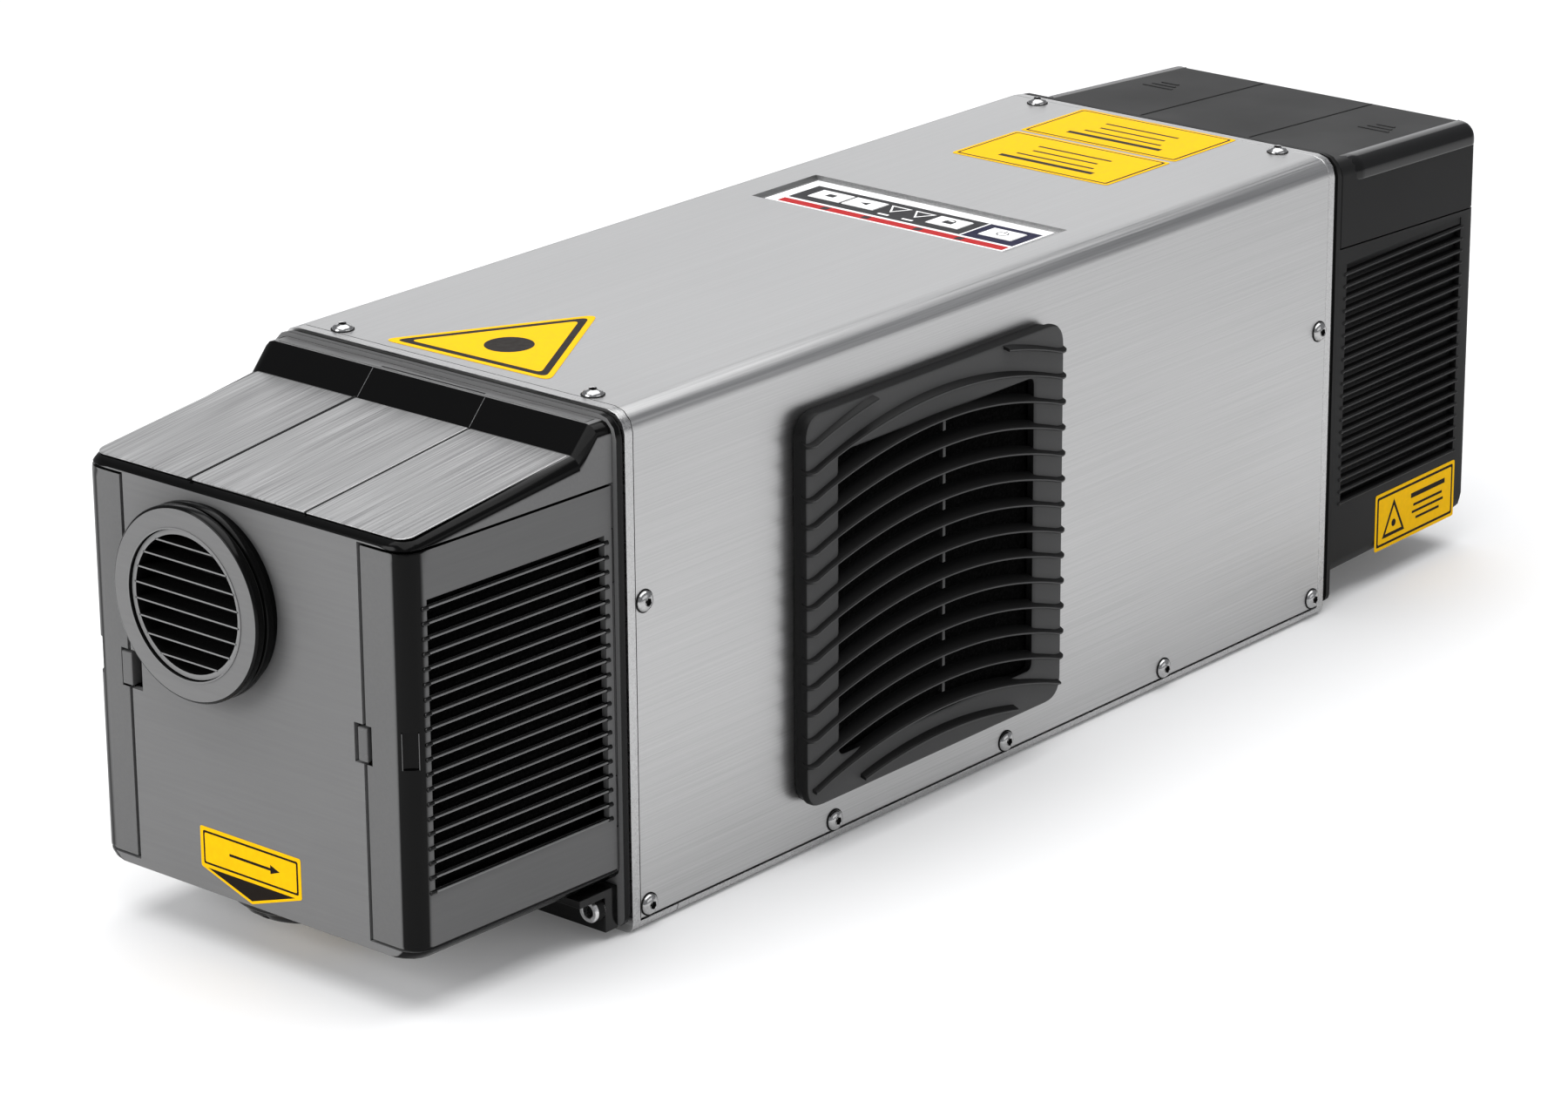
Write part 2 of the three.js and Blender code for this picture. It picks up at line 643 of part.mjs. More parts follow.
// A hub with pitched blades, turning about the frame's axis.
function fanRotor() {
  const front = -HALF.y + 7 + GAP + 3;
  const depth = FAN.depth - 6 - 3 - 4;
  const hub = rod("y", FAN.hub, [front, front + depth], [0, 0, 0]);
  const blades = Array.from({ length: FAN.blades }, (_, i) => {
    const blade = new THREE.BoxGeometry(FAN.tip - FAN.hub + 2, 2, 24);
    blade.rotateX(THREE.MathUtils.degToRad(38));
    blade.translate((FAN.tip + FAN.hub) / 2 - 1, front + depth / 2, 0);
    blade.rotateY((2 * Math.PI * i) / FAN.blades);
    return toSolid(blade);
  });
  const whole = join(hub, ...blades);
  const trim = rod("y", FAN.tip, [front - 5, front + depth + 5], [0, 0, 0], 36);
  return whole.intersect(trim).translate([GRILLE.x, 0, GRILLE.z]);
}

// ---- Laser, optics and electronics ----

const TUBE = { x: [-172, 150], y: [-14, 60], z: [26, 104] };

// The finned laser block with its output port on the beam axis.
function laserTube() {
  const { x, y, z } = TUBE;
  const block = box(x, [y[0] + 8, y[1] - 8], z);
  const fins = Array.from({ length: 9 }, (_, i) => {
    const low = z[0] + 3 + i * 8.4;
    return box([x[0] + 12, x[1] - 12], y, [low, low + 3]);
  });
  return join(block, ...fins, rod("x", 8, [x[0] - 3, x[0] + 1], [0, BEAM.y, BEAM.z]));
}

// The rail that carries the laser above the base plate.
function tubeCradle() {
  const low = LIP + GAP;
  const top = TUBE.z[0] - GAP;
  const feet = [-150, -60, 60, 128].map((x) => box([x - 10, x + 10], [-10, 56], [low, top - 3]));
  return join(box([-162, 140], [-10, 56], [top - 5, top]), ...feet);
}

function rfDriver() {
  const low = TUBE.z[1] + GAP;
  const body = box([-70, 120], [-12, 56], [low, low + 34]);
  const fins = Array.from({ length: 6 }, (_, i) => {
    const side = -10 + i * 12;
    return box([-64, 114], [side, side + 3], [low + 33, low + 42]);
  });
  return join(body, ...fins);
}

function powerSupply() {
  const body = box([66, 182], [-72, -26], [LIP + GAP, 104]);
  const vents = Array.from({ length: 7 }, (_, i) => box([80 + i * 13, 86 + i * 13], [-80, -70], [30, 84]));
  return cut(body, ...vents);
}

function controlBoard() {
  const board = box([-188, -118], [-66, -64.4], [18, 150]);
  const foot = box([-188, -118], [-66, -46], [LIP + GAP, 18.5]);
  const chips = [
    [[-180, -160], [110, 140]],
    [[-150, -124], [100, 126]],
    [[-182, -150], [40, 76]],
    [[-144, -126], [44, 62]],
  ];
  return join(board, foot, ...chips.map(([x, z]) => box(x, [-65, -58], z)));
}

// The plate under the optics, standing on the front end frame's foot.
function opticsPlate() {
  const plate = box([-304, -192], [-34, 50], [29, 35]);
  const leg = box([-204, -192], [-34, 50], [12.3, 30]);
  return cut(join(plate, leg), rod("z", 24, [28, 36], [BEAM.lensX, BEAM.lensY, 0]));
}

function beamExpander() {
  const centre = [0, BEAM.y, BEAM.z];
  const tube = join(rod("x", 10, [-256, -204], centre), rod("x", 7.5, [-204.5, -190], centre));
  const foot = box([-242, -222], [BEAM.y - 8, BEAM.y + 8], [35.3, BEAM.z]);
  return cut(join(tube, foot), rod("x", 5, [-260, -180], centre));
}

function galvoBlock() {
  const { lensX, lensY, y, z } = BEAM;
  const base = box([-304, -260], [-16, 42], [35.3, 41]);
  const motorWall = box([-266, -260], [-12, 13], [40, 74]);
  const column = box([-296, -268], [36, 42], [40, 84]);
  const shelf = box([-296, -268], [y - 12, 42], [78, 84]);
  return cut(
    join(base, motorWall, column, shelf),
    rod("z", 17, [30, 50], [lensX, lensY, 0]),
    rod("x", 8.3, [-270, -255], [0, lensY, z]),
    rod("z", 8.3, [70, 90], [lensX, y, 0]),
  );
}

function xGalvoMotor() {
  return rod("z", 8, [75, 100], [BEAM.lensX, BEAM.y, 0]);
}

function yGalvoMotor() {
  return rod("x", 8, [-268, -240], [0, BEAM.lensY, BEAM.z]);
}

// The first mirror turns about +Z and sends the beam across to the second one.
function xMirror() {
  const plate = new THREE.BoxGeometry(14, 2, 15);
  plate.rotateZ(THREE.MathUtils.degToRad(45)).translate(BEAM.lensX, BEAM.y, BEAM.z);
  return join(toSolid(plate), rod("z", 1.6, [BEAM.z + 7, 74.7], [BEAM.lensX, BEAM.y, 0], 12));
}

// The second mirror turns about +X and sends the beam down through the lens.
function yMirror() {
  const plate = new THREE.BoxGeometry(19, 13, 2);
  plate.rotateX(THREE.MathUtils.degToRad(45)).translate(BEAM.lensX, BEAM.lensY, BEAM.z);
  return join(toSolid(plate), rod("x", 1.6, [BEAM.lensX + 9, -268.3], [0, BEAM.lensY, BEAM.z], 12));
}

const SHUTTER = { y: 0, z: 86 };

function shutterSolenoid() {
  return rod("x", 9, [-184, TUBE.x[0] - GAP], [0, SHUTTER.y, SHUTTER.z]);
}

// A paddle on the solenoid's shaft; at rest it covers the laser's output port.
function shutterFlag() {
  const x = [-186.3, -184.3];
  const arm = new THREE.BoxGeometry(2, Math.hypot(BEAM.y - SHUTTER.y, BEAM.z - SHUTTER.z), 7);
  arm.rotateX(Math.atan2(BEAM.z - SHUTTER.z, BEAM.y - SHUTTER.y));
  arm.translate((x[0] + x[1]) / 2, (BEAM.y + SHUTTER.y) / 2, (BEAM.z + SHUTTER.z) / 2);
  const hub = rod("x", 5, x, [0, SHUTTER.y, SHUTTER.z]);
  const paddle = rod("x", 9.5, x, [0, BEAM.y, BEAM.z]);
  return join(hub, paddle, toSolid(arm));
}

// ---- Rear connections ----

const ROCKER = { x: 313.2, z: 108, tilt: 6 };
const PLATE_X = REAR.end - MOULD_WALL - GAP; // outer face of the connector plate

function connectorPlate() {
  const plate = box([PLATE_X - PORT.plate, PLATE_X], [-60, 60], [32, 137]);
  return cut(
    plate,
    box([300, 330], [-48.3, -19.7], [56.7, 79.3]),
    box([300, 330], [-43.3, -24.7], [93.7, 122.3]),
    rod("x", 9.3, [300, 330], [0, 8, 108]),
    ...[[32, 108], [32, 68]].map(([y, z]) => box([300, 330], [y - 14, y + 14], [z - 6, z + 6])),
  );
}

// Mains inlet with a recessed socket and three contact pins.
function mainsInlet() {
  const bezel = box([PLATE_X + SEAT, PLATE_X + 2], [-51, -17], [54, 82]);
  const body = box([PLATE_X - 16, PLATE_X + 1], [-48, -20], [57, 79]);
  const socket = box([PLATE_X - 14, PLATE_X + 5], [-45.5, -22.5], [60, 76]);
  const pins = [-41, -34, -27].map((y) => box([PLATE_X - 15, PLATE_X - 2], [y - 1, y + 1], [66, 70]));
  return join(cut(join(bezel, body), socket), ...pins);
}

// Rocker of the main switch, which turns in the plate's cut-out; at rest its lower end is pressed in.
function mainSwitch() {
  const { x, z, tilt } = ROCKER;
  const rocker = prism("xz", [[-4, -10], [-4, 10], [5, 12.6], [3.4, 0], [5, -12.6]], [-42.5, -25.5]);
  return rocker.rotate([0, tilt, 0]).translate([x, 0, z]);
}

function keySwitch() {
  const centre = [0, 8, 108];
  const barrel = rod("x", 9, [PLATE_X - 18, PLATE_X + 1.2], centre);
  return cut(barrel, box([PLATE_X - 6, PLATE_X + 4], [7, 9], [103, 113]));
}

// ---- Clamp under the front head ----

const CLAMP = { front: -221, back: -214.6, halfWidth: 79, bottom: 3.5, top: 19.7, screwY: 75, screwZ: 12 };
const CLAMP_HOOD = { front: -234, inner: 66, bottom: 16.7 }; // covers the top of each screw
const CLAMP_SCREW = { head: 4.25, height: 4.6, shank: 2.5, socket: 2.3 };

function clampBracket() {
  const { front, back, halfWidth, bottom, top, screwY, screwZ } = CLAMP;
  const bar = box([front, back], [-halfWidth, halfWidth], [bottom, top]);
  const hoods = boxPair([CLAMP_HOOD.front, back], [CLAMP_HOOD.inner, halfWidth], [CLAMP_HOOD.bottom, top]);
  const holes = [-1, 1].map((side) =>
    rod("x", CLAMP_SCREW.shank + GAP, [-240, -210], [0, side * screwY, screwZ], 12),
  );
  return cut(join(bar, hoods), ...holes);
}

function clampScrew() {
  const { front, back, screwY, screwZ } = CLAMP;
  const { height, shank, socket } = CLAMP_SCREW;
  const centre = [0, -screwY, screwZ];
  const seat = front - SEAT;
  const head = rod("x", CLAMP_SCREW.head, [seat - height, seat], centre, 16);
  const thread = rod("x", shank, [seat - 1, back - GAP], centre, 12);
  return cut(join(head, thread), rod("x", socket, [seat - height - 1, seat - height / 2], centre, 6));
}

// ---- Assembly ----

const FINISHES = {
  steel: { color: 0xb8b9ba, roughness: 0.38, metalness: 1 },
  aluminium: { color: 0xc9cacb, roughness: 0.45, metalness: 1 },
  blackPlastic: { color: 0x1a1b1c, roughness: 0.35, metalness: 0 },
  greyPlastic: { color: 0x45464a, roughness: 0.45, metalness: 0 },
  grille: { color: 0x3c3d40, roughness: 0.55, metalness: 0 },
  rubber: { color: 0x101010, roughness: 0.8, metalness: 0 },
  foam: { color: 0x2a2b2c, roughness: 1, metalness: 0 },
  whiteKey: { color: 0xf2f2f0, roughness: 0.5, metalness: 0 },
  panel: { color: 0x14161c, roughness: 0.5, metalness: 0 },
  chrome: { color: 0xdadada, roughness: 0.2, metalness: 1 },
  glass: { color: 0xe8c070, roughness: 0.05, metalness: 0 },
  board: { color: 0x1d5a35, roughness: 0.6, metalness: 0 },
  copper: { color: 0xb5a26b, roughness: 0.4, metalness: 1 },
};

const coder = new THREE.Group();

function place(name, solid, finish, group = coder) {
  const mesh = new THREE.Mesh(toGeometry(solid), new THREE.MeshStandardMaterial(FINISHES[finish]));
  mesh.name = name;
  group.add(mesh);
  return mesh;
}

place("base_plate", basePlate(), "aluminium");
place("front_end_frame", endFrame(-1), "aluminium");
place("rear_end_frame", endFrame(1), "aluminium");
place("steel_cover", steelCover(), "steel");
place("front_gasket", gasket(-1), "rubber");
place("rear_gasket", gasket(1), "rubber");

place("keypad_panel", keypadPanel(), "panel");
for (const [name, centre] of Object.entries(KEY.centres)) place(`${name}_key`, key(centre), "whiteKey");

place("front_housing", frontHousing(), "blackPlastic");
for (const [name, side] of [["near", -1], ["far", 1]]) {
  place(`${name}_side_cover`, sideCover(side), "blackPlastic");
  place(`${name}_cover_latch`, coverLatch(side), "greyPlastic");
  place(`${name}_side_filter`, sideFilter(side), "foam");
}
place("exhaust_collar", exhaustCollar(), "blackPlastic");
place("collar_louvre", collarLouvre(), "greyPlastic");
place("beam_exit_ring", beamExitRing(), "blackPlastic");
place("focus_lens", focusLens(), "glass");
place("clamp_bracket", clampBracket(), "blackPlastic");
place("clamp_screw", clampScrew(), "chrome");

place("rear_housing", rearHousing(), "blackPlastic");
place("rear_top_cover", rearTopCover(), "blackPlastic");
place("connector_plate", connectorPlate(), "aluminium");
place("mains_inlet", mainsInlet(), "blackPlastic");
place("main_switch", mainSwitch(), "greyPlastic");
place("key_switch", keySwitch(), "chrome");

place("filter_frame", filterFrame(), "grille");
place("filter_mat", filterMat(), "foam");
place("filter_grille", filterGrille(), "grille");
place("fan_frame", fanFrame(), "blackPlastic");
place("fan_rotor", fanRotor(), "greyPlastic");

place("laser_tube", laserTube(), "aluminium");
place("tube_cradle", tubeCradle(), "aluminium");
place("rf_driver", rfDriver(), "aluminium");
place("power_supply", powerSupply(), "steel");
place("control_board", controlBoard(), "board");
place("optics_plate", opticsPlate(), "aluminium");
place("beam_expander", beamExpander(), "copper");
place("galvo_block", galvoBlock(), "aluminium");
place("x_galvo_motor", xGalvoMotor(), "chrome");
place("y_galvo_motor", yGalvoMotor(), "chrome");
place("x_mirror", xMirror(), "copper");
place("y_mirror", yMirror(), "copper");
place("shutter_solenoid", shutterSolenoid(), "chrome");
place("shutter_flag", shutterFlag(), "aluminium");

const screw = buttonScrew();
SIDE_SCREWS.forEach(([x, z], i) => {
  const mesh = place(`side_screw_${i + 1}`, screw, "chrome");
  mesh.position.set(x, -HALF.y - SEAT, z);
  mesh.rotation.x = Math.PI / 2;
});
TOP_SCREWS.forEach(([x, y], i) => {
  const mesh = place(`top_screw_${i + 1}`, screw, "chrome");
  mesh.position.set(x, y, BODY.height + SEAT);
});

export default coder;
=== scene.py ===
"""Detailed pieces and materials of the air-cooled laser date coder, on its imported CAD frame."""
import math

import bmesh
import bpy
from mathutils import Matrix, Vector


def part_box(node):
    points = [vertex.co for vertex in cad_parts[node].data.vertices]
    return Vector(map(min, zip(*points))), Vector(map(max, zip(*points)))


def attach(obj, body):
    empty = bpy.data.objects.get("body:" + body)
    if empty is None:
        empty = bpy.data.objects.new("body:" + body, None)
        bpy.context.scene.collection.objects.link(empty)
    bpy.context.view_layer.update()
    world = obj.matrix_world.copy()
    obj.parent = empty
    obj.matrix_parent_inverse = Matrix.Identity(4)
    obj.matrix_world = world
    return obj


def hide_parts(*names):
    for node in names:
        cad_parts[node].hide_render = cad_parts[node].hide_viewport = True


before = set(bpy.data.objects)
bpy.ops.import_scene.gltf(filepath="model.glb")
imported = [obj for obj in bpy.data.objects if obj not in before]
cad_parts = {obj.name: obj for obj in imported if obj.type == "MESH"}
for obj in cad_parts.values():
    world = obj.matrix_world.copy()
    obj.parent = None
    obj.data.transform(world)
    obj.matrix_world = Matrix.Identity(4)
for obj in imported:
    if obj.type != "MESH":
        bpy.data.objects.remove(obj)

# Sizes in mm that the pieces share with the CAD
MM = 0.001
COVER_TOP = 192  # the steel cover's top face
SCREW_SEAT = 0.1  # clearance under a screw head
SIDE_FACE = 82 + SCREW_SEAT
HEAD_FRONT = -312.5
HEAD_BACK = -212
HEAD_LENGTH = 100.5
HALF_WIDTH = 80  # of both end mouldings, where they meet the steel body
TAPER = 3  # how far each side of an end moulding draws in over its length
SLOPE_FRONT = (-311.0, 171.2)  # X and Z at the lower edge of the sloping top
SLOPE_REAR = (-229.6, 180.4)
SEAM_FAR = 26.3  # Y of the two seams between the slope's strips
SEAM_NEAR = -28.5
COLLAR_Y, COLLAR_Z = 17, 132
VANE_SPAN = (-322.7, -313.7)
BEAM_X, BEAM_Y = -282, 3
REAR_START = 212
REAR_LENGTH = 108
RIB_COUNT = 20  # in each side louvre, front and rear
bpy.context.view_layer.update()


def mm(x, y, z):
    return Vector((x, y, z)) * MM


# ---- Materials ----


class Shader:
    """A Principled material and short ways to wire its nodes."""

    def __init__(self, name, roughness=0.4, metallic=0.0, specular=0.5):
        self.material = bpy.data.materials.new(name)
        self.material.use_nodes = True
        self.tree = self.material.node_tree
        self.principled = self.tree.nodes["Principled BSDF"]
        self.principled.inputs["Roughness"].default_value = roughness
        self.principled.inputs["Metallic"].default_value = metallic
        self.principled.inputs["Specular IOR Level"].default_value = specular
        self.coordinates = self.tree.nodes.new("ShaderNodeTexCoord")

    def link(self, output, target):
        self.tree.links.new(output, target)

    def noise(self, scale, stretch=(1, 1, 1), detail=3.0):
        """Noise in the object's own metres, stretched along the axes with small factors."""
        mapping = self.tree.nodes.new("ShaderNodeMapping")
        mapping.inputs["Scale"].default_value = [scale * s for s in stretch]
        self.link(self.coordinates.outputs["Object"], mapping.inputs["Vector"])
        noise = self.tree.nodes.new("ShaderNodeTexNoise")
        noise.inputs["Scale"].default_value = 1.0
        noise.inputs["Detail"].default_value = detail
        self.link(mapping.outputs["Vector"], noise.inputs["Vector"])
        return noise.outputs["Fac"]

    def mapped(self, value, low, high, from_low=0.3, from_high=0.7, smooth=False):
        node = self.tree.nodes.new("ShaderNodeMapRange")
        node.interpolation_type = "SMOOTHSTEP" if smooth else "LINEAR"
        node.inputs["From Min"].default_value = from_low
        node.inputs["From Max"].default_value = from_high
        node.inputs["To Min"].default_value = low
        node.inputs["To Max"].default_value = high
        self.link(value, node.inputs["Value"])
        return node.outputs["Result"]

    def mix(self, factor, dark, light):
        node = self.tree.nodes.new("ShaderNodeMix")
        node.data_type = "RGBA"
        self.link(factor, node.inputs["Factor"])
        for value, socket in ((dark, node.inputs[6]), (light, node.inputs[7])):
            if isinstance(value, bpy.types.NodeSocket):
                self.link(value, socket)
            else:
                socket.default_value = (*value, 1.0)
        return node.outputs[2]

    def math(self, operation, a, b=None):
        node = self.tree.nodes.new("ShaderNodeMath")
        node.operation = operation
        for value, socket in ((a, node.inputs[0]), (b, node.inputs[1])):
            if isinstance(value, bpy.types.NodeSocket):
                self.link(value, socket)
            elif value is not None:
                socket.default_value = value
        return node.outputs[0]

    def bump(self, height, strength, distance):
        node = self.tree.nodes.new("ShaderNodeBump")
        node.inputs["Strength"].default_value = strength
        node.inputs["Distance"].default_value = distance
        self.link(height, node.inputs["Height"])
        self.link(node.outputs["Normal"], self.principled.inputs["Normal"])

    def colour(self, socket):
        self.link(socket, self.principled.inputs["Base Color"])

    def roughness(self, socket):
        self.link(socket, self.principled.inputs["Roughness"])


def grey(value):
    return (value, value, value)


def brushed(name, dark, light, rough, grain=(1, 1, 1), metallic=1.0, depth=0.00002):
    """Brushed metal: fine streaks along the axis whose grain factor is small."""
    s = Shader(name, metallic=metallic)
    streaks = s.noise(1500, grain, detail=4)
    broad = s.noise(9, (0.5, 1, 1), detail=2)
    both = s.math("ADD", s.math("MULTIPLY", streaks, 0.75), s.math("MULTIPLY", broad, 0.25))
    s.colour(s.mix(s.mapped(both, 0, 1), dark, light))
    s.roughness(s.mapped(streaks, rough - 0.06, rough + 0.08))
    s.bump(streaks, 0.25, depth)
    return s.material


def moulded(name, dark, light, rough, texture=2600, depth=0.00003, specular=0.5, strength=0.3):
    """Moulded plastic with a fine eroded texture and faint handling marks."""
    s = Shader(name, specular=specular)
    fine = s.noise(texture, detail=2)
    broad = s.noise(14, detail=4)
    s.colour(s.mix(s.mapped(broad, 0, 1), dark, light))
    s.roughness(s.mapped(broad, rough - 0.05, rough + 0.06))
    s.bump(fine, strength, depth)
    return s.material


def two_tone(
    name, face, edge, flat_axes="XYZ", face_rough=0.42, edge_rough=0.16, grain=(1, 0.03, 1),
    turn=(0.975, 0.997), gloss_behind=None,
):
    """Satin on faces square to the named axes, gloss black where the surface rounds over. For the
    grille and the collar vanes this split by facing is painted shade and painted highlight.

    gloss_behind is an X position in metres; everything to the rear of it is gloss black too.
    """
    s = Shader(name, specular=0.10)
    normal = s.tree.nodes.new("ShaderNodeSeparateXYZ")
    s.link(s.coordinates.outputs["Normal"], normal.inputs[0])
    squareness = 0.0
    for axis in flat_axes:
        part = s.math("ABSOLUTE", normal.outputs[axis])
        squareness = part if squareness == 0.0 else s.math("MAXIMUM", squareness, part)
    flat = s.mapped(squareness, 0, 1, *turn, smooth=True)
    if gloss_behind is not None:
        place = s.tree.nodes.new("ShaderNodeSeparateXYZ")
        s.link(s.coordinates.outputs["Object"], place.inputs[0])
        flat = s.math("MULTIPLY", flat, s.math("LESS_THAN", place.outputs["X"], gloss_behind))
    streaks = s.noise(900, grain, detail=3)
    broad = s.noise(11, detail=3)
    both = s.math("ADD", s.math("MULTIPLY", streaks, 0.5), s.math("MULTIPLY", broad, 0.5))
    face_colour = s.mix(s.mapped(both, 0, 1), [c * 0.94 for c in face], [c * 1.06 for c in face])
    s.colour(s.mix(flat, edge, face_colour))
    s.roughness(s.mapped(flat, edge_rough, face_rough, 0, 1))
    s.bump(streaks, 0.12, 0.00001)
    return s.material


def printed(name, colour, rough=0.38):
    """Ink on a smooth label: an even colour with faint mottling."""
    s = Shader(name, specular=0.03)
    mottle = s.noise(420, detail=3)
    pale = [min(c * 1.03, 1) for c in colour]
    s.colour(s.mix(s.mapped(mottle, 0, 1), [c * 0.95 for c in colour], pale))
    s.roughness(s.mapped(mottle, rough - 0.04, rough + 0.05))
    s.bump(mottle, 0.05, 0.00002)
    return s.material


def coated_glass(name, colour):
    s = Shader(name, roughness=0.05)
    s.principled.inputs["Transmission Weight"].default_value = 0.6
    s.colour(s.mix(s.mapped(s.noise(60), 0, 1), [c * 0.9 for c in colour], colour))
    return s.material


def foam(name):
    s = Shader(name, roughness=0.95, specular=0.04)
    cells = s.tree.nodes.new("ShaderNodeTexVoronoi")
    cells.inputs["Scale"].default_value = 700
    s.link(s.coordinates.outputs["Object"], cells.inputs["Vector"])
    s.colour(s.mix(s.mapped(cells.outputs["Distance"], 0, 1, 0.1, 0.7), grey(0.004), grey(0.001)))
    s.bump(cells.outputs["Distance"], 0.8, 0.0004)
    return s.material


def circuit(name):
    s = Shader(name, roughness=0.35)
    tracks = s.tree.nodes.new("ShaderNodeTexBrick")
    tracks.inputs["Scale"].default_value = 160
    tracks.inputs["Mortar Size"].default_value = 0.03
    s.link(s.coordinates.outputs["Object"], tracks.inputs["Vector"])
    s.colour(s.mix(tracks.outputs["Fac"], (0.01, 0.09, 0.035), (0.05, 0.22, 0.09)))
    s.bump(tracks.outputs["Fac"], 0.3, 0.00005)
    return s.material


MATERIALS = {
    "steel": brushed("brushed_steel", grey(0.385), grey(0.505), 0.34, (0.006, 1.3, 1.3)),
    "edge_steel": brushed("edge_steel", grey(0.36), grey(0.52), 0.30, (1, 0.02, 1)),
    "aluminium": brushed("satin_aluminium", grey(0.50), grey(0.62), 0.42, (0.6, 1, 1)),
    "slope": brushed(
        "brushed_slope", grey(0.22), grey(0.54), 0.36, (0.012, 1, 0.004), metallic=0.85, depth=0.00003,
    ),
    "ledge": brushed("brushed_ledge", grey(0.10), grey(0.22), 0.40, (1, 0.03, 1), metallic=0.8),
    "head": two_tone("head_plastic", grey(0.152), grey(0.002), gloss_behind=-0.2142),
    "collar": two_tone("collar_plastic", grey(0.152), grey(0.002), "X"),
    "cover": two_tone(
        "cover_plastic", grey(0.12), grey(0.002), "XY", face_rough=0.38, grain=(0.02, 1, 1),
    ),
    # painted highlight: the near-black vanes get pale grey on their forward faces
    "vane": two_tone("vane_painted_highlight", grey(0.20), grey(0.006), "X"),
    "gloss": moulded(
        "gloss_black", grey(0.002), grey(0.004), 0.14, texture=500, strength=0.05, specular=0.25,
    ),
    "rear": moulded("rear_black", grey(0.008), grey(0.012), 0.46, depth=0.00004, specular=0.09),
    "rear_rib": moulded("rear_rib_black", grey(0.006), grey(0.009), 0.42, specular=0.2),
    # painted shade: the grille's faces that turn away from the front are painted near black
    "grille": two_tone(
        "grille_plastic", grey(0.060), grey(0.010), "Y", 0.44, 0.40, (1, 1, 1), turn=(0.80, 0.985),
    ),
    # painted shade: this near-black stands for the shade in seam gaps, screw sockets, recessed slats
    # and inside the collar
    "dark": moulded("painted_shade_black", grey(0.003), grey(0.005), 0.75, specular=0.2),
    "rubber": moulded("seal_rubber", grey(0.008), grey(0.012), 0.7, specular=0.3),
    "rib": moulded("rib_edge", grey(0.12), grey(0.16), 0.30, texture=900),
    "latch": moulded("latch_plastic", grey(0.07), grey(0.09), 0.30, texture=900),
    "foam": foam("filter_foam"),
    "chrome": brushed("polished_screw", grey(0.34), grey(0.50), 0.18, (1, 1, 1), depth=0.000004),
    # painted light: a paler copy of the polished screw metal, so the cap screws in the shade under the
    # head look lit
    "painted_light_screw": brushed("screw_painted_light", grey(0.62), grey(0.80), 0.30, (1, 1, 1), depth=0.000004),
    "motor": brushed("plated_motor", grey(0.35), grey(0.50), 0.30, (1, 1, 0.05)),
    "gold": brushed(
        "gold_coat", (0.62, 0.42, 0.14), (0.80, 0.58, 0.24), 0.16, (1, 1, 1), depth=0.000004,
    ),
    "glass": coated_glass("coated_lens", (0.95, 0.72, 0.35)),
    "board": circuit("circuit_board"),
    "yellow": printed("label_yellow", (0.84, 0.47, 0.002), 0.5),
    "black_ink": printed("label_black", (0.012, 0.009, 0.007)),
    "white": printed("label_white", grey(0.86)),
    "key": printed("key_white", grey(0.90), 0.45),
    "panel": printed("panel_black", (0.022, 0.022, 0.024)),
    "navy": printed("panel_navy", (0.004, 0.004, 0.03)),
    "red": printed("panel_red", (0.40, 0.005, 0.006)),
}

# ---- CAD nodes ----


WELD_REACH = 0.001  # mm
SHARP_ANGLE = math.radians(33)


def dress(node, finish, round_by, slotted):
    """Gives a CAD node a procedural material and, unless it is slotted, rounded edges."""
    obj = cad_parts[node]
    mesh = obj.data
    mesh.materials.clear()
    mesh.materials.append(MATERIALS[finish])
    if "custom_normal" in mesh.attributes:
        mesh.attributes.remove(mesh.attributes["custom_normal"])
    mesh.shade_smooth()
    weld = obj.modifiers.new("weld", "WELD")
    weld.merge_threshold = WELD_REACH * MM
    if slotted:
        edges = obj.modifiers.new("edges", "EDGE_SPLIT")
        edges.split_angle = SHARP_ANGLE
    else:
        planes = obj.modifiers.new("planes", "DECIMATE")
        planes.decimate_type = "DISSOLVE"
        planes.angle_limit = math.radians(0.5)
        bevel = obj.modifiers.new("round", "BEVEL")
        bevel.width = round_by * MM
        bevel.segments = 2
        bevel.limit_method = "ANGLE"
        bevel.angle_limit = SHARP_ANGLE
        bevel.miter_outer = "MITER_ARC"
    weighted = obj.modifiers.new("normals", "WEIGHTED_NORMAL")
    weighted.keep_sharp = True


